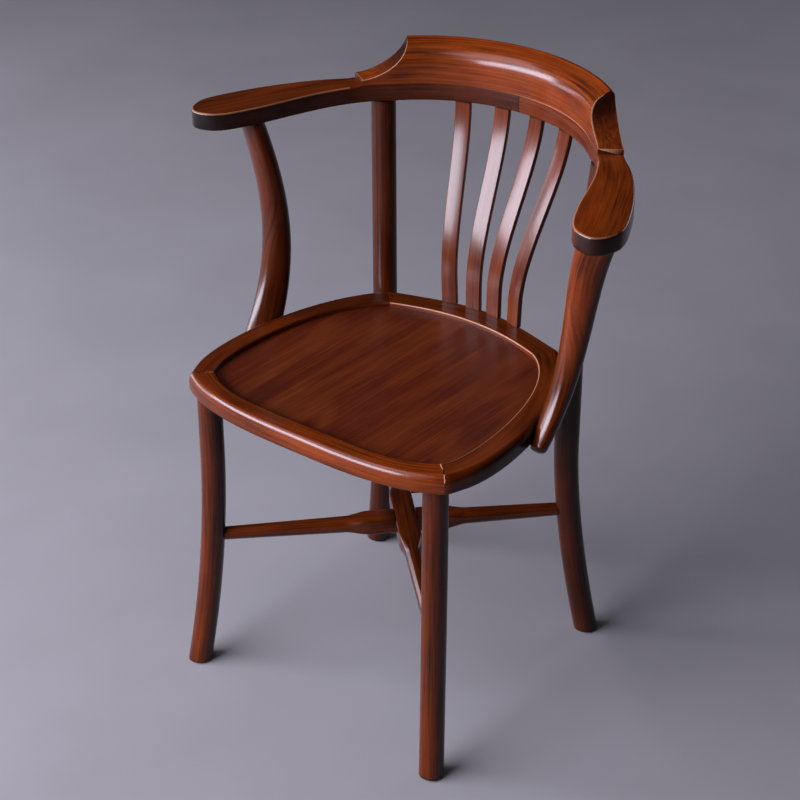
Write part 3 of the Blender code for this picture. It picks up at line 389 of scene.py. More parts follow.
def lay_grain(mesh, path, upward=(0, 0, 1)):
    """Stores metres along, across and above a middle line, and how squarely a face cuts it."""
    global plank
    plank += 1
    line = np.array([tuple(p) for p in path])
    points = per_point(mesh, "co")
    step = np.diff(line, axis=0)
    length = np.linalg.norm(step, axis=1)
    begun = np.concatenate([[0], np.cumsum(length)[:-1]])
    share = np.einsum("psk,sk->ps", points[:, None] - line[None, :-1], step) / length ** 2
    low = np.where(np.arange(len(step)) == 0, -np.inf, 0.0)
    high = np.where(np.arange(len(step)) == len(step) - 1, np.inf, 1.0)
    share = np.clip(share, low, high)
    away = points[:, None] - (line[None, :-1] + share[:, :, None] * step[None])
    nearest = np.argmin((away ** 2).sum(2), axis=1)
    row = np.arange(len(points))
    tangent = step[nearest] / length[nearest, None]
    across = np.cross(tangent, np.array(upward, float))
    across /= np.linalg.norm(across, axis=1)[:, None]
    above = np.cross(across, tangent)
    offset = away[row, nearest]
    along = begun[nearest] + share[row, nearest] * length[nearest]
    grain = np.column_stack([along, (offset * across).sum(1), (offset * above).sum(1)])
    stored = mesh.attributes.new("grain", "FLOAT_VECTOR", "POINT")
    stored.data.foreach_set("vector", (grain + PLANK_STEP * plank).astype(np.float32).ravel())
    mark(mesh, "end", np.abs((per_point(mesh, "normal") * tangent).sum(1)))


print("planks start", PLANK_STEP, "m apart in the pattern")

# %% [markdown]
# ## Skins and placing
# Most pieces are one section carried along a line, so a skin over rings of points makes them: its
# faces run with the grain, as they would on a bent stick. Every finished piece is then darkened by
# its own amount, with painted shade on its upright sides, goes to its place in the frame and stands
# there for its imported solid.

# %% A skin over rings
WELD = 0.000005              # points closer than this are one


def close_up(mesh):
    """Merges doubled points and turns all faces outwards."""
    bm = bmesh.new()
    bm.from_mesh(mesh)
    bmesh.ops.remove_doubles(bm, verts=bm.verts, dist=WELD)
    bmesh.ops.recalc_face_normals(bm, faces=bm.faces)
    bm.to_mesh(mesh)
    bm.free()


def skin(name, rings, wear_and_highlight=None, caps=(True, True)):
    """A closed skin over rings of points, which all have as many points as the first."""
    count = len(rings[0])
    points = [tuple(p) for ring in rings for p in ring]
    faces = []
    for k in range(len(rings) - 1):
        for i in range(count):
            j = (i + 1) % count
            faces.append((k * count + i, k * count + j, (k + 1) * count + j, (k + 1) * count + i))
    if caps[0]:
        faces.append(tuple(range(count)))
    if caps[1]:
        faces.append(tuple(range(len(points) - count, len(points))))
    mesh = bpy.data.meshes.new(name)
    mesh.from_pydata(points, [], faces)
    mark(mesh, "wear_and_highlight", np.zeros(len(points)) if wear_and_highlight is None else wear_and_highlight)
    close_up(mesh)
    return mesh


print("points within", WELD * 1000, "mm are merged")

# %% Placing a piece
DEPTH_CENTRE = 0.0405        # the chair's own plan is drawn about the seat; the frame is centred
CRISP = math.radians(35)
# How much darker each stick is made, 0 for the lightest and 1 for nearly black: at its left,
# front or lower end, at its other end, and how much more on its upright sides, as painted shade
STAIN_AND_SIDE_SHADE = {
    "rim_front": (0.50, 0.12, 0), "rim_left": (0.52, 0.66, 0), "rim": (0.50, 0.56, 0),
    "front_leg": (0.48, 0.60, 0), "rear_post": (0.72, 0.70, 0), "arm_left": (0.50, 0.22, 0.46),
    "arm_right": (0.14, 0.16, 0.30), "crest": (0.14, 0.0, 0.08), "slat": (0.52, 0.46, 0),
    "support_left": (0.72, 0.62, 0), "support_right": (0.66, 0.0, 0),
    "cross_lower": (0.45, 0.62, 0), "cross_upper": (0.66, 0.66, 0),
}


def count_open(mesh):
    """Edges that don't lie between exactly two faces; a closed piece has none."""
    bm = bmesh.new()
    bm.from_mesh(mesh)
    found = sum(1 for edge in bm.edges if len(edge.link_faces) != 2)
    bm.free()
    return found


def place_piece(name, mesh, cad_node):
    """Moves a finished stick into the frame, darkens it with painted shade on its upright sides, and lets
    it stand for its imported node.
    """
    mesh.transform(Matrix.Translation((0, -DEPTH_CENTRE, 0)))
    mesh.shade_smooth()
    mesh.set_sharp_from_angle(angle=CRISP)
    mesh.materials.clear()
    mesh.materials.append(beech)
    near, far, side_shade = next(depth for start, depth in STAIN_AND_SIDE_SHADE.items() if name.startswith(start))
    points = per_point(mesh, "co")
    low, high = points.min(0), points.max(0)
    longest = np.argmax(high - low)
    upright = 1 - np.abs(per_point(mesh, "normal")[:, 2])
    ends = np.interp(points[:, longest], (low[longest], high[longest]), (near, far))
    # upright faces are darker still: painted shade on the sides
    mark(mesh, "stain_and_shade", ends + side_shade * upright)
    obj = bpy.data.objects.new(name, mesh)
    scene.collection.objects.link(obj)
    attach(obj, "root")
    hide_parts(cad_node)
    print(f"{name}: {len(mesh.polygons)} faces, {count_open(mesh)} open edges")


def place_pair(stem, right, line, cad_stem):
    """Places a right-hand stick and its mirror image, each with a grain of its own."""
    left = right.copy()
    left.transform(Matrix.Diagonal((-1, 1, 1, 1)))
    left.flip_normals()
    lay_grain(right, line)
    lay_grain(left, [(-x, y, z) for x, y, z in line])
    for hand, mesh in (("right", right), ("left", left)):
        place_piece(f"{stem}_{hand}", mesh, f"{cad_stem}_{hand}")


print("stain depths for", len(STAIN_AND_SIDE_SHADE), "kinds of stick")

# %% [markdown]
# ## Seat rim
# Four lengths of bent beech are mitred into a ring. Each has a soft round along the top of its
# outer edge, which draws the bright line round the seat, a small round inside, and a groove
# for the panel. A ring of points across the wood is carried from one mitre to the next, so the
# faces run with the grain and the rounds stay even.

# %% Plan of the rim
GAP = 0.0003                 # left for glue between two pieces
SEAT_TOP = 0.455
RIM_LOW = 0.430
PANEL_TOP = 0.448
PANEL_LOW = 0.442
TONGUE = 0.008
RIM_FRONT = Vector((0, -0.2155))
INNER_FRONT = Vector((0, -0.187))
RIM_BACK = Vector((0, 0.1985))
INNER_BACK = Vector((0, 0.160))
FRONT_CORNER = Vector((0.1839, -0.1568))
FRONT_MITRE = Vector((0.2075, -0.180))
SHOULDER = Vector((0.219, -0.157))
REAR_CORNER = Vector((0.1195, 0.1355))
FLAT_OUT = 0.0366            # from an inner rear corner out to the short flat across the outer one
FLAT_WIDTH = 0.014
DIAGONAL = Vector((1, 1)).normalized()
FLAT_CENTRE = REAR_CORNER + DIAGONAL * FLAT_OUT
FLAT_HALF = Vector((1, -1)).normalized() * FLAT_WIDTH / 2
# How each curved run leaves its first end and arrives at its last, as Bezier handles
FRONT_RUN, INNER_FRONT_RUN = ((0.0541, 0), (-0.0589, -0.0384)), ((0.104, 0), (-0.0509, -0.0333))
SHOULDER_RUN = ((0.0050, 0.0033), (-0.0046, -0.0105))
SIDE_RUN, INNER_SIDE_RUN = ((0.0256, 0.0586), (0.0771, -0.0854)), ((0.025, 0.0191), (0.0863, -0.0533))
BACK_RUN, INNER_BACK_RUN = ((-0.0450, 0.0125), (0.050, 0)), ((-0.035, 0.014), (0.045, 0))
RUN_POINTS, SIDE_POINTS, SHOULDER_POINTS = 60, 90, 20


def bent(start, handles, end, count=RUN_POINTS):
    """Points on a curved run between two ends, with a handle at each."""
    leave, arrive = handles
    return interpolate_bezier(start, start + Vector(leave), end + Vector(arrive), end, count)


def flip(points):
    return [Vector((-p.x, p.y)) for p in reversed(points)]


front_outer = bent(RIM_FRONT, FRONT_RUN, FRONT_MITRE)
front_outer = flip(front_outer)[:-1] + front_outer
front_inner = bent(INNER_FRONT, INNER_FRONT_RUN, FRONT_CORNER)
front_inner = flip(front_inner)[:-1] + front_inner
side_edge = bent(SHOULDER, SIDE_RUN, FLAT_CENTRE + FLAT_HALF, SIDE_POINTS)
side_outer = bent(FRONT_MITRE, SHOULDER_RUN, SHOULDER, SHOULDER_POINTS)[:-1] + side_edge + [FLAT_CENTRE]
side_inner = bent(FRONT_CORNER, INNER_SIDE_RUN, REAR_CORNER, SIDE_POINTS)
back_outer = [FLAT_CENTRE] + bent(FLAT_CENTRE - FLAT_HALF, BACK_RUN, RIM_BACK)
back_outer = back_outer[:-1] + flip(back_outer)
back_inner = bent(REAR_CORNER, INNER_BACK_RUN, INNER_BACK)
back_inner = back_inner[:-1] + flip(back_inner)
print("rim plan:", len(front_outer) + 2 * len(side_outer) + len(back_outer), "points round the outside")

# %% Section of the rim
FRONT_ROUND = (0.008, 0.014)   # how far the outer top round goes in and down in front
BACK_ROUND = (0.0055, 0.0055)  # and behind, where the slats stand close to the edge
LOW_ROUND = 0.002
INNER_ROUND = 0.0015
SMALL_STEPS, LARGE_STEPS, LEVEL_STEPS = 4, 12, 8   # round a small and the large round, along the top


def quarter(steps):
    """Sine and one minus cosine round a quarter turn."""
    turns = np.linspace(0, math.pi / 2, steps + 1)
    return list(zip(np.sin(turns), 1 - np.cos(turns)))


def round_over(edge, out, inwards, face, fall, steps):
    """Points that round over from an upright edge onto a level face, from a fall below it."""
    return [(*(edge - out * inwards * c), face - fall * (1 - s)) for s, c in quarter(steps)]


def level_points(a, b, z, steps):
    """Points from a to b at one height, without the two ends."""
    return [(*(a + (b - a) * i / steps), z) for i in range(1, steps)]


def rim_ring(a, a_out, b, b_out, top_round):
    """The section of the rim from its groove over the top to the outside and back below."""
    low_edge = a - a_out * LOW_ROUND / 2
    deep = a - a_out * (TONGUE + GAP)
    ring = [(*low_edge, RIM_LOW), (*a, RIM_LOW + LOW_ROUND / 2), (*a, PANEL_LOW - GAP)]
    ring += [(*deep, PANEL_LOW - GAP), (*deep, PANEL_TOP + GAP), (*a, PANEL_TOP + GAP)]
    ring += round_over(a, a_out, INNER_ROUND, SEAT_TOP, INNER_ROUND, SMALL_STEPS)
    inwards, down = top_round
    ring += level_points(a - a_out * INNER_ROUND, b - b_out * inwards, SEAT_TOP, LEVEL_STEPS)
    ring += reversed(round_over(b, b_out, inwards, SEAT_TOP, down, LARGE_STEPS))
    ring += round_over(b, b_out, LOW_ROUND, RIM_LOW, -LOW_ROUND, SMALL_STEPS)
    return ring + level_points(b - b_out * LOW_ROUND, low_edge, RIM_LOW, SMALL_STEPS)


print("rim section:", SEAT_TOP - RIM_LOW, "m high, panel sunk by", round(SEAT_TOP - PANEL_TOP, 4), "m")

# %% Lengths of the rim
STATION = 0.004              # from one section to the next
JOINT_LINE = (0.0004, 0.0009)  # close sections at both ends, for the line of a joint
JOINT_SECTIONS = 2           # sections that the line covers
TOP_POINTS = slice(8, 27)    # points of a section that lie on top of the rim
INNER_POINTS = slice(7, 10)  # and on its inner round
OPEN_JOINT, TIGHT_JOINT = 0.8, 0.2   # wear along the right and the left front mitre
INNER_HIGHLIGHT = 0.35             # painted highlight along the inner edge


def spaced(points, shares):
    """Points at given shares of a line's length."""
    line = np.array([tuple(p) for p in points])
    length = np.concatenate([[0], np.cumsum(np.linalg.norm(np.diff(line, axis=0), axis=1))])
    wanted = np.array(shares) * length[-1]
    return np.column_stack([np.interp(wanted, length, line[:, i]) for i in range(line.shape[1])])


def outward(line, hand):
    """The plan direction away from the wood along an edge: hand 1 is to the right of its run."""
    run = np.gradient(line, axis=0)
    run /= np.linalg.norm(run, axis=1)[:, None]
    return hand * np.column_stack([run[:, 1], -run[:, 0]])


def rim_length(side, inner, outer, joint_wear, inner_highlight, rounds):
    """One length of the rim, anticlockwise; joint_wear and rounds are those at its two ends."""
    length = sum((p - q).length for p, q in zip(outer, outer[1:]))
    fine = [line / length for line in JOINT_LINE]
    shares = sorted([*np.linspace(0, 1, int(length / STATION)), *fine, *(1 - f for f in fine)])
    a, b = spaced(inner, shares), spaced(outer, shares)
    a_out, b_out = outward(a, -1), outward(b, 1)
    for end in (0, -1):
        saw = (b[end] - a[end]) / np.linalg.norm(b[end] - a[end])
        a_out[end] = saw / saw.dot(a_out[end])
        b_out[end] = saw / saw.dot(b_out[end])
    tops = np.array(rounds[0]) + np.outer(shares, np.subtract(rounds[1], rounds[0]))
    rings = [rim_ring(*each) for each in zip(a, a_out, b, b_out, tops)]
    wear_and_highlight = np.zeros((len(rings), len(rings[0])))
    # the inner round gets a painted highlight
    wear_and_highlight[:, INNER_POINTS] = inner_highlight
    wear_and_highlight[:JOINT_SECTIONS, TOP_POINTS] = joint_wear[0]
    wear_and_highlight[-JOINT_SECTIONS:, TOP_POINTS] = joint_wear[1]
    mesh = skin("rim_" + side, rings, wear_and_highlight)
    lay_grain(mesh, [(*p, (SEAT_TOP + RIM_LOW) / 2) for p in (a + b) / 2])
    place_piece("rim_" + side, mesh, "seat_rim_" + side)


rim_length("front", front_inner, front_outer, (TIGHT_JOINT, OPEN_JOINT), 0, (FRONT_ROUND, FRONT_ROUND))
rim_length("right", side_inner, side_outer, (OPEN_JOINT, 0), INNER_HIGHLIGHT, (FRONT_ROUND, BACK_ROUND))
rim_length("back", back_inner, back_outer, (0, 0), INNER_HIGHLIGHT, (BACK_ROUND, BACK_ROUND))
rim_length("left", flip(side_inner), flip(side_outer), (0, TIGHT_JOINT), 0, (BACK_ROUND, FRONT_ROUND))

# %% [markdown]
# ## Legs and posts
# Turned rods are steamed and kicked out at the foot: straight down to a bend, then a sweep that
# grows faster and faster. That is a rule, so a Geometry Nodes tree makes all four. It starts from
# a straight cylinder and slides each level slice sideways, which keeps the feet flat on the floor.

# %% Helpers for trees
def new_tree(name, inputs):
    """An empty Geometry Nodes tree with named inputs; each is (kind, start value)."""
    tree = bpy.data.node_groups.new(name, "GeometryNodeTree")
    tree.interface.new_socket("Geometry", in_out="OUTPUT", socket_type="NodeSocketGeometry")
    for label, (kind, value) in inputs.items():
        socket = tree.interface.new_socket(label, in_out="INPUT", socket_type="NodeSocket" + kind)
        if value is not None:
            socket.default_value = value
    return tree, tree.nodes.new("NodeGroupInput").outputs


def close_tree(tree, geometry, material):
    """Ends a tree in Realize Instances and Set Material."""
    real = node(tree, "GeometryNodeRealizeInstances", {"Geometry": geometry})
    done = node(tree, "GeometryNodeSetMaterial", {"Geometry": real, "Material": material})
    tree.links.new(done, tree.nodes.new("NodeGroupOutput").inputs["Geometry"])
    print(tree.name, "tree:", len(tree.nodes), "nodes")


def made_mesh(obj):
    """What an object's modifiers make of it, as a plain mesh."""
    bpy.context.view_layer.update()
    graph = bpy.context.evaluated_depsgraph_get()
    return bpy.data.meshes.new_from_object(obj.evaluated_get(graph))


def run_tree(name, tree, values):
    """Runs a tree with given inputs and returns what it makes."""
    holder = bpy.data.objects.new(name + "_holder", bpy.data.meshes.new(name))
    scene.collection.objects.link(holder)
    modifier = holder.modifiers.new("make", "NODES")
    modifier.node_group = tree
    for item in tree.interface.items_tree:
        if item.in_out == "INPUT" and item.name in values:
            modifier[item.identifier] = values[item.name]
    mesh = made_mesh(holder)
    holder.modifiers.clear()
    bpy.data.objects.remove(holder)
    mesh.name = name
    return mesh


print("tree helpers ready")

# %% Bent rod tree
ROD_SIDES, ROD_LEVELS = 48, 90
rod_tree, given = new_tree("bent_rod", {
    "Radius": ("Float", 0.0165), "Low": ("Float", 0.0), "High": ("Float", 0.43),
    "Stand": ("Vector", None), "Kick": ("Vector", None), "Bend Height": ("Float", 0.3),
    "Power": ("Float", 2.0), "Lean": ("Vector", None), "Lean Start": ("Float", 0.44),
})
# A straight cylinder that stands on its lower end
tall = node(rod_tree, "ShaderNodeMath", {0: given["High"], 1: given["Low"]}, operation="SUBTRACT")
rod = node(rod_tree, "GeometryNodeMeshCylinder", {
    "Vertices": ROD_SIDES, "Side Segments": ROD_LEVELS, "Radius": given["Radius"], "Depth": tall})
lift = node(rod_tree, "ShaderNodeMath", {0: tall, 1: 0.5, 2: given["Low"]}, operation="MULTIPLY_ADD")
lift = node(rod_tree, "ShaderNodeCombineXYZ", {"Z": lift})
rod = node(rod_tree, "GeometryNodeSetPosition", {"Geometry": rod, "Offset": lift})
# The kick grows from nothing at the bend to its full size at the floor
place = node(rod_tree, "GeometryNodeInputPosition", {})
up = node(rod_tree, "ShaderNodeSeparateXYZ", {0: place}, "Z")
fall = node(rod_tree, "ShaderNodeMapRange", {
    "Value": up, "From Min": given["Bend Height"], "From Max": 0.0})
fall = node(rod_tree, "ShaderNodeMath", {0: fall, 1: given["Power"]}, operation="POWER")
kick = node(rod_tree, "ShaderNodeVectorMath", {0: given["Kick"], "Scale": fall}, operation="SCALE")
# Above the seat a post leans evenly towards its place under the rail
climb = node(rod_tree, "ShaderNodeMapRange", {
    "Value": up, "From Min": given["Lean Start"], "From Max": given["High"]})
lean = node(rod_tree, "ShaderNodeVectorMath", {0: given["Lean"], "Scale": climb}, operation="SCALE")
slide = given["Stand"]
for shift in (kick, lean):
    slide = node(rod_tree, "ShaderNodeVectorMath", {0: slide, 1: shift}, operation="ADD")
rod = node(rod_tree, "GeometryNodeSetPosition", {"Geometry": rod, "Offset": slide})
close_tree(rod_tree, rod, beech)

# %% Plan of the arm rail, which the posts lean towards
RAIL_LOW = 0.7258
RAIL_TOP = 0.7504
RAIL_WIDTH = 0.034
ARC_Y = 0.05
ARC_RADIUS = 0.2125
ARC_END = math.radians(46)
ARC_LEAD = 0.9               # the arc's last tenth gives the arm the slope that it starts with
ARC_STEPS = 60
ARM_STEPS = 12
ARM_REACH = 0.327
ARM_ROOT = ARC_RADIUS * math.sin(ARC_END)
# Points round an arm: the share of the way out from its root to its full reach, and y
ARM_INNER = ((0.179, 0.167), (0.340, 0.120), (0.454, 0.070), (0.558, 0.020))
ARM_TIP = ((0.713, -0.0286), (0.799, -0.037), (0.891, -0.0385), (0.960, -0.029), (0.997, -0.011), (1, 0))
ARM_OUTER = ((0.894, 0.050), (0.736, 0.100), (0.529, 0.150), (0.365, 0.179))
ARM_NOSE = 2                 # the point of the tip where the inner and the outer edge meet


def on_arc(radius, angle):
    return Vector((radius * math.sin(angle), ARC_Y + radius * math.cos(angle)))


def on_arm(spot):
    """A plan point from its share of the way out to the full reach and its y."""
    return Vector((ARM_ROOT + (ARM_REACH - ARM_ROOT) * spot[0], spot[1]))


def smooth_run(points, steps):
    """Points on a smooth line through all of the given ones but the first and the last."""
    slopes = []
    for before, point, after in zip(points, points[1:], points[2:]):
        slopes.append(((point - before).normalized() + (after - point).normalized()).normalized())
    line = []
    for i, slope in enumerate(slopes[:-1]):
        start, end = points[i + 1], points[i + 2]
        third = (end - start).length / 3
        line += bent(start, (slope * third, slopes[i + 1] * -third), end, steps + 1)[:-1]
    return line + [points[-2]]


inner_arc = [on_arc(ARC_RADIUS, ARC_END * share) for share in (ARC_LEAD, 1)]
outer_arc = [on_arc(ARC_RADIUS + RAIL_WIDTH, ARC_END * share) for share in (1, ARC_LEAD)]
arm_points = [on_arm(spot) for spot in ARM_INNER + ARM_TIP + ARM_OUTER]
arm_line = smooth_run(inner_arc + arm_points + outer_arc, ARM_STEPS)
tip_turn = 1 + ARM_STEPS * (1 + len(ARM_INNER) + ARM_NOSE)
angles = [ARC_END * i / ARC_STEPS for i in range(ARC_STEPS)]
rail_inner = [on_arc(ARC_RADIUS, angle) for angle in angles] + arm_line[:tip_turn]
rail_outer = [on_arc(ARC_RADIUS + RAIL_WIDTH, angle) for angle in angles] + arm_line[:tip_turn - 2:-1]


def on_rail(angle, share):
    """A plan point on the rail at an angle about its arc: share 0 is its inner edge, 1 its outer."""
    heading = Vector((math.sin(angle), math.cos(angle)))
    middle = Vector((0, ARC_Y))
    found = []
    for edge in (rail_inner, rail_outer):
        for a, b in zip(edge, edge[1:]):
            turn_a = (a - middle).cross(heading)
            turn_b = (b - middle).cross(heading)
            if turn_a * turn_b <= 0 and turn_a != turn_b:
                found.append(a + (b - a) * (turn_a / (turn_a - turn_b)))
                break
    return found[0] + (found[1] - found[0]) * share


print("rail edges:", len(rail_inner), "and", len(rail_outer), "points")

# %% Front legs and rear posts
SOLE = 0.0028                # thickness of the foot pads under them
LEG_RADIUS = 0.0165
LEG_STAND = FRONT_CORNER + Vector((0.0010, -0.0105))
LEG_KICK = Vector((0.0186, -0.0284))
LEG_BEND = 0.338
LEG_POWER = 1.95
POST_RADIUS = 0.017
POST_OUT = 0.016             # from the flat of the rim's rear corner to a post's axis
POST_STAND = FLAT_CENTRE + DIAGONAL * POST_OUT
POST_KICK = Vector((0.0332, 0.0229))
POST_BEND = 0.306
POST_POWER = 1.62
POST_ANGLE = math.radians(50.25)
LEAN_START = 0.440
NO_LEAN = Vector((0, 0))
post_lean = on_rail(POST_ANGLE, 0.5) - POST_STAND
rods = {
    "front_leg": (LEG_RADIUS, RIM_LOW - GAP, LEG_STAND, LEG_KICK, LEG_BEND, LEG_POWER, NO_LEAN),
    "rear_post": (POST_RADIUS, RAIL_LOW - GAP, POST_STAND, POST_KICK, POST_BEND, POST_POWER, post_lean),
}


def axis_point(kind, side, z):
    """Centre of a leg or post at a height, by the rule that the tree follows."""
    stand, kick, bend, power, lean = rods[kind][2:]
    fall = max(0.0, 1 - z / bend) ** power
    climb = max(0.0, (z - LEAN_START) / (RAIL_LOW - GAP - LEAN_START))
    spot = stand + kick * fall + lean * climb
    return Vector((spot.x * side, spot.y, z))


def rod_mesh(kind, side, grow=0.0):
    """A leg or post from the tree, thicker all round by an amount where it serves as a cutter."""
    radius, high, stand, kick, bend, power, lean = rods[kind]
    return run_tree(kind, rod_tree, {
        "Radius": radius + grow, "Low": SOLE, "High": high, "Bend Height": bend, "Power": power,
        "Stand": (stand.x * side, stand.y, 0), "Kick": (kick.x * side, kick.y, 0),
        "Lean": (lean.x * side, lean.y, 0), "Lean Start": LEAN_START,
    })


HANDS = {"left": -1, "right": 1}
AXIS_POINTS = 60
for hand, side in HANDS.items():
    for kind in rods:
        mesh = rod_mesh(kind, side)
        middle = [axis_point(kind, side, z) for z in np.linspace(0, rods[kind][1], AXIS_POINTS)]
        lay_grain(mesh, middle, (0, 1, 0))
        place_piece(f"{kind}_{hand}_rod", mesh, f"{kind}_{hand}")

# %% [markdown]
# ## Arm rail
# A horseshoe in two halves: an even band round the back that opens into a flat paddle for each
# arm. The edges that a hand meets are rounded. As on the rim, a section is carried along between
# the inner and the outer edge; at the tip both edges meet and the section closes to a line.

# %% Section of the rail
RAIL_ROUND = 0.003
RAIL_ARRIS = 0.0004          # the far smaller round under the crest
ROUND_STEPS = 6
CREST_ANGLE = math.radians(58.4)
ROUND_EASE = 3               # degrees past the crest's end until the round is full


def rail_ring(a, a_out, b, b_out):
    """The rail's section; its top edges are left square where the crest sits on them."""
    top = []
    for edge in (a, b):
        past = math.degrees(math.atan2(edge[0], edge[1] - ARC_Y) - CREST_ANGLE)
        ease = min(1.0, max(0.0, past / ROUND_EASE))
        top.append(RAIL_ARRIS + (RAIL_ROUND - RAIL_ARRIS) * ease * ease * (3 - 2 * ease))
    ring = round_over(a, a_out, RAIL_ROUND, RAIL_LOW, -RAIL_ROUND, ROUND_STEPS)[::-1]
    ring += round_over(a, a_out, top[0], RAIL_TOP, top[0], ROUND_STEPS)
    ring += level_points(a - a_out * top[0], b - b_out * top[1], RAIL_TOP, LEVEL_STEPS)
    ring += round_over(b, b_out, top[1], RAIL_TOP, top[1], ROUND_STEPS)[::-1]
    ring += round_over(b, b_out, RAIL_ROUND, RAIL_LOW, -RAIL_ROUND, ROUND_STEPS)
    return ring + level_points(b - b_out * RAIL_ROUND, a - a_out * RAIL_ROUND, RAIL_LOW, LEVEL_STEPS)


print("rail section:", round(RAIL_TOP - RAIL_LOW, 4), "m high")

# %% Arm rail
RAIL_SECTIONS = 221
RUB_AND_HIGHLIGHT = 0.20                # pale on the edges that hands rub: part wear, part painted highlight
RUB_AND_HIGHLIGHT_FROM, TIP_FROM = 112, 205   # sections where the pale inner and outer edges begin
INNER_EDGE = slice(9, 12)    # points of a section in the middle of its inner top round
OUTER_EDGE = slice(23, 26)   # and of its outer one

shares = np.linspace(0, 1, RAIL_SECTIONS)
a, b = spaced(rail_inner, shares), spaced(rail_outer, shares)
a_out, b_out = outward(a, 1), outward(b, -1)
tip_out = a_out[-1] + b_out[-1]
a_out[-1] = b_out[-1] = tip_out / np.linalg.norm(tip_out)
a_out[0], b_out[0] = (0, -1), (0, 1)
a[0, 0] = b[0, 0] = GAP / 2
rings = [rail_ring(*each) for each in zip(a, a_out, b, b_out)]
# pale edges towards the tips, part wear and part painted highlight
worn_and_highlit = np.zeros((len(rings), len(rings[0])))
worn_and_highlit[RUB_AND_HIGHLIGHT_FROM:, INNER_EDGE] = RUB_AND_HIGHLIGHT
worn_and_highlit[TIP_FROM:, OUTER_EDGE] = RUB_AND_HIGHLIGHT
middle = [(*p, (RAIL_LOW + RAIL_TOP) / 2) for p in ((a + b) / 2)[:-1]]
place_pair("arm", skin("arm", rings, worn_and_highlit, caps=(True, False)), middle, "arm_rail")

# %% [markdown]
# ## Crest
# The crest is a bent block glued on the back of the rail. In section it has an upright front, a
# round nose and a top that slopes up to the ridge. Towards both ends it is sawn down in a hollow
# to a low step. The saw leaves a crisp edge with the front, so each section is the full one cut
# off level at the hollow's height, not a squashed copy of it. Where the saw went, the edge is pale:
# the stain is worn off, and a highlight is painted along the arris.

# %% Crest section
CREST_LOW = RAIL_TOP + GAP
CREST_HEIGHT = 0.0571
CREST_SLOPE = math.radians(28)
CREST_RIDGE = 0.0275
CREST_NOSE = 0.028
CREST_BROW = 0.0015          # front and back end this far below the ridge
CREST_STEP = 0.007
CREST_BACK = RAIL_WIDTH - CREST_RIDGE
SCOOP = math.radians(16.4)
SCOOP_POWER = 1.65
NOSE_TURN = math.pi / 2 - CREST_SLOPE
SLOPE_FOOT = CREST_HEIGHT - CREST_RIDGE * math.tan(CREST_SLOPE)
NOSE_START = SLOPE_FOOT - CREST_NOSE * math.tan(NOSE_TURN / 2)
NOSE_END = NOSE_START + CREST_NOSE * math.sin(NOSE_TURN)
# Heights up the front and back as shares: close at the glue line, along the nose and at the brow
FACE_SHARES = [0, 0.02, *np.linspace(0.1, 0.40, 4), *np.linspace(0.44, 0.97, 24), 0.985, 1]
TOP_STEPS = 14
FOOT_STEPS = 6


def front_set(up):
    """How far the front lies behind the rail's edge: upright, then the nose, then the slope."""
    if up > NOSE_END:
        return (up - SLOPE_FOOT) / math.tan(CREST_SLOPE)
    return CREST_NOSE - math.sqrt(CREST_NOSE ** 2 - max(0.0, up - NOSE_START) ** 2)


def back_set(up):
    """The same for the back, upright and then rounded over to the ridge."""
    return CREST_RIDGE + math.sqrt(CREST_BACK ** 2 - max(0.0, up - CREST_HEIGHT + CREST_BACK) ** 2)


def ridge_height(behind):
    """Height of the full crest at a distance behind its front."""
    if behind < CREST_RIDGE:
        return SLOPE_FOOT + behind * math.tan(CREST_SLOPE)
    return CREST_HEIGHT - CREST_BACK + math.sqrt(CREST_BACK ** 2 - (behind - CREST_RIDGE) ** 2)


def crest_top(angle):
    """Height of the ridge, which falls in a hollow towards the ends."""
    run_in = min(1.0, (CREST_ANGLE - abs(angle)) / SCOOP)
    hollowed = max(0.0, 1 - run_in ** SCOOP_POWER) ** (1 / SCOOP_POWER)
    return CREST_HEIGHT - (CREST_HEIGHT - CREST_STEP) * hollowed


def crest_section(angle):
    """Outline at an angle, up the front, over the top, down the back and under, as (behind, up)."""
    top = crest_top(angle)
    brow = min(top, CREST_HEIGHT - CREST_BROW)
    points = [(front_set(brow * share), brow * share) for share in FACE_SHARES]
    for behind in np.linspace(front_set(brow), back_set(brow), TOP_STEPS + 1)[1:-1]:
        points.append((behind, min(top, ridge_height(behind))))
    points += [(back_set(brow * share), brow * share) for share in reversed(FACE_SHARES)]
    return points + [(RAIL_WIDTH * (1 - i / FOOT_STEPS), 0) for i in range(1, FOOT_STEPS)]


print("crest section:", len(crest_section(0)), "points, nose from", round(NOSE_START * 1000, 1), "mm up")

# %% Crest
HOLLOW_STEPS = 48
MIDDLE_STEPS = 60
ARRIS = math.radians(0.12)
BROW_WEAR_AND_HIGHLIGHT, STEP_WEAR_AND_HIGHLIGHT = 0.55, 0.8   # pale on the sawn front edge and across the low step, part wear and part painted highlight
SEAM_WEAR = 0.6              # on the glue line, which opens from the middle to the right
SEAM_FROM, SEAM_OVER = math.radians(-8), math.radians(35)
BROW_POINT = len(FACE_SHARES) - 1

turns = np.linspace(0, math.pi / 2, HOLLOW_STEPS + 1)
hollow = [CREST_ANGLE - SCOOP * math.sin(turn) ** (2 / SCOOP_POWER) for turn in turns]
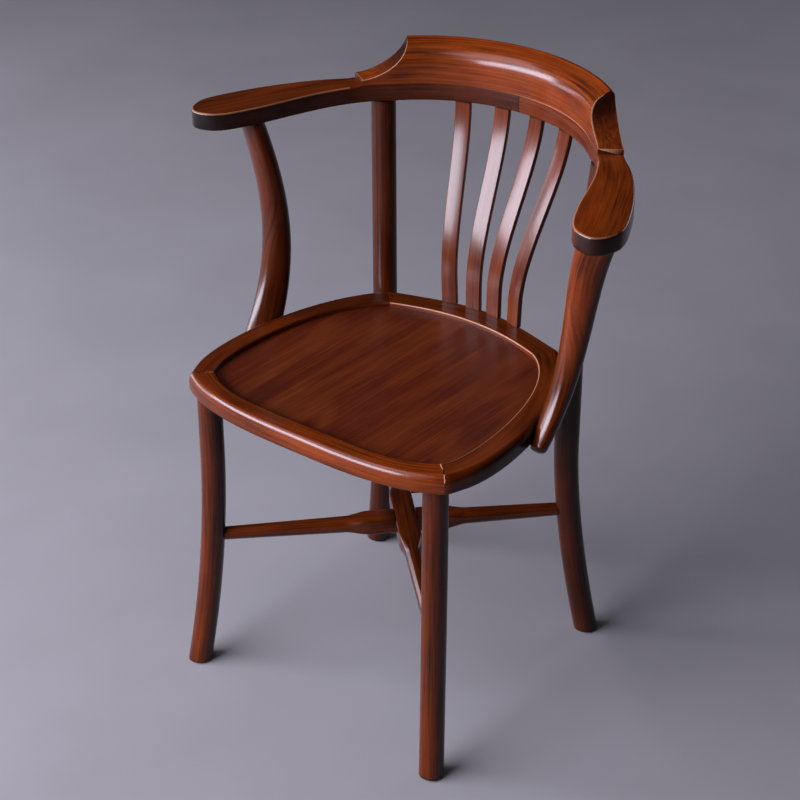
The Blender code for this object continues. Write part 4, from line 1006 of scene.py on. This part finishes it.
# Two close sections at each end carry the pale line along its arris, part wear and part painted highlight
hollow[1:1] = [CREST_ANGLE - ARRIS, CREST_ANGLE - 2 * ARRIS]
half_angles = hollow + list(np.linspace(CREST_ANGLE - SCOOP - ARRIS, 0, MIDDLE_STEPS))
crest_angles = half_angles + [-angle for angle in reversed(half_angles[:-1])]
rings, wear_and_highlight, middle = [], [], []
for angle in crest_angles:
    side = 1 if angle >= 0 else -1
    front, back = on_rail(abs(angle), 0), on_rail(abs(angle), 1)
    section = crest_section(angle)
    ring = []
    for behind, up in section:
        spot = front + (back - front) * (behind / RAIL_WIDTH)
        ring.append((spot.x * side, spot.y, CREST_LOW + up))
    rings.append(ring)
    worn_and_highlit = np.zeros(len(section))
    # the sawn edge and the step turn pale: part wear, part painted highlight
    if abs(angle) > CREST_ANGLE - SCOOP + ARRIS:
        worn_and_highlit[BROW_POINT - 1:BROW_POINT + 1] = BROW_WEAR_AND_HIGHLIGHT
    if abs(angle) == hollow[1]:
        worn_and_highlit[BROW_POINT:BROW_POINT + TOP_STEPS + 1] = STEP_WEAR_AND_HIGHLIGHT
    worn_and_highlit[0] = max(worn_and_highlit[0], SEAM_WEAR * min(1.0, max(0.0, angle - SEAM_FROM) / SEAM_OVER))
    wear_and_highlight.append(worn_and_highlit)
    spot = on_rail(abs(angle), 0.5)
    middle.append((spot.x * side, spot.y, CREST_LOW + CREST_HEIGHT / 2))
crest = skin("crest", rings, wear_and_highlight)
lay_grain(crest, middle)
place_piece("crest", crest, "crest_rail")

# %% [markdown]
# ## Back slats
# Four flat sticks rise from the rim, lean back in a long S and meet the rail. All follow one rule:
# a straight bar with rounded corners, each level slice moved back by a smooth step and sideways in
# proportion to its height. One tree bends all four.

# %% Bent slat tree
SLAT_LEVELS, CORNER_STEPS = 70, 5
SLAT_SIZES = {               # the bend starts and ends at shares of the height
    "Width": 0.022, "Thick": 0.008, "Corner": 0.0015, "Bend Start": 0.13, "Bend End": 1.06,
    "Low": SEAT_TOP + GAP, "High": RAIL_LOW - GAP,
}
slat_tree, given = new_tree("bent_slat", {
    **{label: ("Float", size) for label, size in SLAT_SIZES.items()},
    "Drift": ("Float", 0.0), "Bend": ("Float", 0.0),
    "Foot": ("Vector", None), "Across": ("Vector", None), "Behind": ("Vector", None),
})
# A straight bar with rounded corners
outline = node(slat_tree, "GeometryNodeCurvePrimitiveQuadrilateral", {
    "Width": given["Width"], "Height": given["Thick"]})
outline = node(slat_tree, "GeometryNodeFilletCurve", {
    "Curve": outline, "Radius": given["Corner"], "Count": CORNER_STEPS}, mode="POLY")
foot = node(slat_tree, "ShaderNodeCombineXYZ", {"Z": given["Low"]})
head = node(slat_tree, "ShaderNodeCombineXYZ", {"Z": given["High"]})
line = node(slat_tree, "GeometryNodeCurvePrimitiveLine", {"Start": foot, "End": head})
line = node(slat_tree, "GeometryNodeResampleCurve", {"Curve": line, "Count": SLAT_LEVELS})
bar = node(slat_tree, "GeometryNodeCurveToMesh", {
    "Curve": line, "Profile Curve": outline, "Fill Caps": True})
# How far up a point is, and the smooth step of the bend, which is full at the rail
place = node(slat_tree, "GeometryNodeInputPosition", {})
parts = node(slat_tree, "ShaderNodeSeparateXYZ", {0: place}, None)
rise = node(slat_tree, "ShaderNodeMapRange", {
    "Value": parts["Z"], "From Min": given["Low"], "From Max": given["High"]}, clamp=False)
steps = []
for height in (rise, 1.0):
    steps.append(node(slat_tree, "ShaderNodeMapRange", {
        "Value": height, "From Min": given["Bend Start"], "From Max": given["Bend End"],
    }, interpolation_type="SMOOTHSTEP"))
bend = node(slat_tree, "ShaderNodeMath", {0: steps[0], 1: steps[1]}, operation="DIVIDE")
# Back by the bend and half the thickness, sideways by the drift
middle = node(slat_tree, "ShaderNodeMath", {0: given["Thick"], 1: 0.5, 2: parts["Y"]},
              operation="MULTIPLY_ADD")
back = node(slat_tree, "ShaderNodeMath", {0: bend, 1: given["Bend"], 2: middle}, operation="MULTIPLY_ADD")
aside = node(slat_tree, "ShaderNodeMath", {0: rise, 1: given["Drift"], 2: parts["X"]},
             operation="MULTIPLY_ADD")
spot = node(slat_tree, "ShaderNodeCombineXYZ", {"Z": parts["Z"]})
for way, far in ((given["Behind"], back), (given["Across"], aside), (given["Foot"], 1.0)):
    shift = node(slat_tree, "ShaderNodeVectorMath", {0: way, "Scale": far}, operation="SCALE")
    spot = node(slat_tree, "ShaderNodeVectorMath", {0: spot, 1: shift}, operation="ADD")
bar = node(slat_tree, "GeometryNodeSetPosition", {"Geometry": bar, "Position": spot})
close_tree(slat_tree, bar, beech)

# %% Slats
SLATS = {                    # foot on the rim, angle of the head round the rail, turn of the slat
    "inner": (Vector((0.0163, 0.1880)), math.radians(7.3), math.radians(6.5)),
    "outer": (Vector((0.0526, 0.1835)), math.radians(22.4), math.radians(15)),
}
SLAT_SET = 0.0022            # of the head behind the rail's inner edge
SAME_LEVEL = 0.0001          # points of a slat that lie this close in height are one slice
for hand, side in HANDS.items():
    for kind, (foot, turn, yaw) in SLATS.items():
        behind = Vector((math.sin(yaw), math.cos(yaw)))
        across = Vector((behind.y, -behind.x))
        travel = on_rail(turn, SLAT_SET / RAIL_WIDTH) - foot
        name = f"slat_{kind}_{hand}"
        mesh = run_tree(name, slat_tree, {
            **SLAT_SIZES, "Drift": travel.dot(across) * side, "Bend": travel.dot(behind),
            "Foot": (foot.x * side, foot.y, 0), "Across": (across.x, across.y * side, 0),
            "Behind": (behind.x * side, behind.y, 0),
        })
        close_up(mesh)
        points = per_point(mesh, "co")
        heights = sorted(set(np.round(points[:, 2], 5)))
        middle = [points[np.abs(points[:, 2] - z) < SAME_LEVEL].mean(0) for z in heights]
        lay_grain(mesh, middle, (0, 1, 0))
        place_piece(name, mesh, f"back_slat_{kind}_{hand}")

# %% [markdown]
# ## Arm supports
# A stick with a soft oval section is bent from the arm down to the rim, notched over the rim's edge
# and run down its outside to a rounded tip. Under the arm it is wide to the side, at the rim wide
# along the rim, and about round between. The bend is one Bezier curve; the section is a superellipse,
# which gives soft corners with one number. A Boolean cuts the notch with the outline of the seat.

# %% Bend of a support
SUPPORT_HEAD = (0.718, 0.0375)     # under the arm, as share of its reach and y
SUPPORT_FOOT_Y = -0.0113
SUPPORT_OUT = 0.0065         # of the foot beyond the rim's edge
SUPPORT_DROP = 0.0274        # of the foot below the seat
HEAD_HANDLE = Vector((-0.0393, 0.0042))
FOOT_HANDLE = Vector((0.0139, 0.0780))
SUPPORT_STEPS = 80
support_top = on_arm(SUPPORT_HEAD)
support_low = SEAT_TOP - SUPPORT_DROP
edge_line = np.array([tuple(p) for p in side_edge])
edge_x = np.interp(SUPPORT_FOOT_Y, edge_line[:, 1], edge_line[:, 0])
support_foot = Vector((edge_x + SUPPORT_OUT, SUPPORT_FOOT_Y))
third = (RAIL_LOW - support_low) / 3
knots = (
    Vector((*support_top, RAIL_LOW)),
    Vector((*(support_top + HEAD_HANDLE), RAIL_LOW - third)),
    Vector((*(support_foot + FOOT_HANDLE), support_low + third)),
    Vector((*support_foot, support_low)),
)
bend_line = interpolate_bezier(*knots, SUPPORT_STEPS)
print("support bends from", [round(v, 3) for v in knots[0]], "to", [round(v, 3) for v in knots[3]])

# %% Stick of a support
SUPPORT_SPARE = 0.014        # left on at the head, then sawn off
SUPPORT_TIP = 0.010
TIP_POWER = 2.4
TIP_STEPS = 18
SUPPORT_WIDTH = (0.0289, 0.0464)   # at the head and at the foot
SUPPORT_THICK = (0.0496, 0.0237)
SUPPORT_YAW = math.radians(124)
SUPPORT_POWER = 2.2
OVAL_POINTS = 72


def between(pair, share):
    return pair[0] + (pair[1] - pair[0]) * share


def support_ring(centre, along, share, scale=1.0):
    """A soft oval section, squarely across the stick."""
    level_wide = Vector((math.cos(SUPPORT_YAW), math.sin(SUPPORT_YAW), 0))
    wide = (level_wide - level_wide.project(along)).normalized()
    deep = along.cross(wide).normalized()
    ring = []
    for angle in np.linspace(0, 2 * math.pi, OVAL_POINTS + 1)[:-1]:
        c, s = math.cos(angle), math.sin(angle)
        u = math.copysign(abs(c) ** (2 / SUPPORT_POWER), c) * between(SUPPORT_WIDTH, share) / 2
        v = math.copysign(abs(s) ** (2 / SUPPORT_POWER), s) * between(SUPPORT_THICK, share) / 2
        ring.append(centre + (wide * u + deep * v) * scale)
    return ring


leave = (knots[1] - knots[0]).normalized()
arrive = (knots[3] - knots[2]).normalized()
rings = [support_ring(knots[0] - leave * SUPPORT_SPARE, leave, 0)]
for i, point in enumerate(bend_line):
    ahead = bend_line[min(i + 1, len(bend_line) - 1)] - bend_line[max(i - 1, 0)]
    rings.append(support_ring(point, ahead, i / (len(bend_line) - 1)))
for turn in np.linspace(0, math.pi / 2, TIP_STEPS)[1:-1]:
    reach = math.sin(turn)
    scale = (1 - reach ** TIP_POWER) ** (1 / TIP_POWER)
    rings.append(support_ring(knots[3] + arrive * SUPPORT_TIP * reach, arrive, 1, scale))
stick_mesh = skin("support_stick", rings)
print("support stick:", len(rings), "sections")

# %% Notch and saw cut
SAW_BLOCK = 1.0              # large enough to take off all that stands above a cut
EDGE_STEPS = 9


def seat_board(name, grow, low):
    """The outline of the whole seat as one closed board with its top edge rounded."""
    plan = front_outer[:-1] + side_outer[:-1] + back_outer[:-1] + flip(side_outer)[:-1]
    edge = np.array([tuple(p) for p in plan])
    ahead = np.roll(edge, -1, axis=0) - np.roll(edge, 1, axis=0)
    out = np.column_stack([ahead[:, 1], -ahead[:, 0]]) / np.linalg.norm(ahead, axis=1)[:, None]
    rings = [[(*p, low) for p in edge + out * grow]]
    for s, c in reversed(quarter(EDGE_STEPS)):
        inset = edge + out * (grow - BACK_ROUND[0] * (1 - s))
        rings.append([(*p, SEAT_TOP + grow - BACK_ROUND[1] * c) for p in inset])
    return skin(name, rings)


def block(size, centre, spin=0.0):
    """A plain block to cut with, turned by an angle about the vertical."""
    bm = bmesh.new()
    bmesh.ops.create_cube(bm, size=1)
    bmesh.ops.scale(bm, verts=bm.verts, vec=size)
    bmesh.ops.rotate(bm, verts=bm.verts, matrix=Matrix.Rotation(spin, 3, "Z"))
    bmesh.ops.translate(bm, verts=bm.verts, vec=centre)
    mesh = bpy.data.meshes.new("block")
    bm.to_mesh(mesh)
    bm.free()
    return mesh


def carved(mesh, cutter):
    """A mesh with the shape of another cut out of it."""
    body = bpy.data.objects.new("body", mesh)
    tool = bpy.data.objects.new("tool", cutter)
    scene.collection.objects.link(body)
    scene.collection.objects.link(tool)
    step = body.modifiers.new("notch", "BOOLEAN")
    step.operation = "DIFFERENCE"
    step.solver = "EXACT"
    step.object = tool
    result = made_mesh(body)
    bpy.data.objects.remove(body)
    bpy.data.objects.remove(tool)
    return result


saw = block((SAW_BLOCK,) * 3, (support_top.x, support_top.y, RAIL_LOW - GAP + SAW_BLOCK / 2))
board = seat_board("seat_board", GAP, support_low - SUPPORT_TIP - SUPPORT_WIDTH[1] / 2)
place_pair("support", carved(carved(stick_mesh, saw), board), bend_line, "arm_support")

# %% [markdown]
# ## Stretchers
# Two rods cross under the seat. Each is left thick and square in the middle, where half of one is
# let into half of the other, and thins towards both ends, which are scribed to the round legs. The
# section changes from a square with small chamfers to an octagon, carried out from the crossing;
# then a copy of each leg, grown by the glue gap, cuts the ends to fit.

# %% Sections of a stretcher
LAP_WIDTH = 0.031
LAP_HEIGHT = 0.022
LAP_HALF = 0.050
LAP_CHAMFER = 0.002
NECK = 0.036                 # over which the square middle thins to an octagon
ARM_SECTION = (0.0235, 0.0205)   # width and height where the neck ends
END_SECTION = (0.0170, 0.0170)   # and at a leg
EIGHTH = (1 - math.tan(math.pi / 8)) / 2   # chamfer of a regular octagon, as a share of its height
NECK_STEPS, ARM_SPAN_STEPS = 16, 24
NEAR_CORNER, OFF_CORNER = 0.06, 0.18   # shares of a side where its points stand
CORNER_EASE = 0.012          # how far the near ones are drawn in


def stretcher_ring(centre, across, width, height, chamfer):
    """A chamfered section with each corner of the chamfer eased by a small round."""
    w, h = width / 2, height / 2
    corners = [(w, h - chamfer), (w - chamfer, h), (chamfer - w, h), (-w, h - chamfer),
               (-w, chamfer - h), (chamfer - w, -h), (w - chamfer, -h), (w, chamfer - h)]
    ring = []
    for i, (u, v) in enumerate(corners):
        before, after = corners[i - 1], corners[(i + 1) % 8]
        for share, other in ((OFF_CORNER, before), (NEAR_CORNER, before),
                             (NEAR_CORNER, after), (OFF_CORNER, after)):
            size = 1 - CORNER_EASE if share == NEAR_CORNER else 1.0
            x = u + (other[0] - u) * share
            y = v + (other[1] - v) * share
            ring.append(centre + across * x * size + Vector((0, 0, 1)) * y * size)
    return ring


def half_stations(length):
    """Sections from the crossing out to a leg's axis: (distance, width, height, chamfer)."""
    lap = (LAP_WIDTH, LAP_HEIGHT, LAP_CHAMFER)
    arm = (*ARM_SECTION, ARM_SECTION[1] * EIGHTH)
    stations = []
    for share in np.linspace(0, 1, NECK_STEPS + 1):
        ease = share * share * (3 - 2 * share)
        stations.append((LAP_HALF + NECK * share, *(between(pair, ease) for pair in zip(lap, arm))))
    for share in np.linspace(0, 1, ARM_SPAN_STEPS + 1)[1:]:
        width, height = (between(pair, share) for pair in zip(ARM_SECTION, END_SECTION))
        stations.append((between((LAP_HALF + NECK, length), share), width, height, height * EIGHTH))
    return stations


print("stretcher:", NECK_STEPS + ARM_SPAN_STEPS + 1, "sections on each half")

# %% Stretchers
STRETCHER_Z = 0.205
stretcher, heading = {}, {}
for name, side in (("upper", -1), ("lower", 1)):
    front = axis_point("front_leg", -side, STRETCHER_Z)
    rear = axis_point("rear_post", side, STRETCHER_Z)
    along = (rear - front).normalized()
    across = along.cross(Vector((0, 0, 1)))
    crossing = front + (rear - front) * (front.x / (front.x - rear.x))
    stations = [(-far, *size) for far, *size in reversed(half_stations((crossing - front).length))]
    stations += half_stations((rear - crossing).length)
    rings = [stretcher_ring(crossing + along * far, across, *size) for far, *size in stations]
    mesh = skin("stretcher_" + name, rings)
    mesh = carved(mesh, rod_mesh("front_leg", -side, GAP))
    mesh = carved(mesh, rod_mesh("rear_post", side, GAP))
    stretcher[name] = (mesh, [front, crossing, rear])
    heading[name] = along
for name, other, sign in (("upper", "lower", -1), ("lower", "upper", 1)):
    mesh, line = stretcher[name]
    spin = heading[other].xy.angle_signed(Vector((1, 0)))
    half_up = Vector((0, 0, sign * (LAP_HEIGHT - GAP) / 2))
    mesh = carved(mesh, block((LAP_HALF * 2, LAP_WIDTH + 2 * GAP, LAP_HEIGHT), crossing + half_up, spin))
    lay_grain(mesh, line)
    place_piece("cross_" + name, mesh, "stretcher_" + name)

# %% [markdown]
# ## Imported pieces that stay
# The seat panel is a flat plate and already has its true shape, so it keeps its own mesh and gets
# the veneer. Blocks, dowels, screws and foot pads are finished the same way.

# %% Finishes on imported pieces
FINISHES = {
    "seat_panel": veneer, "corner_block": block_beech, "dowel": raw_beech, "foot_glide": plastic,
    "screw": zinc,
}
kept = 0
for name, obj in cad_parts.items():
    for part, finish in FINISHES.items():
        if part in name:
            for held in obj.material_slots:
                held.material = finish
            kept += 1
print("finished", kept, "packed pieces in place")
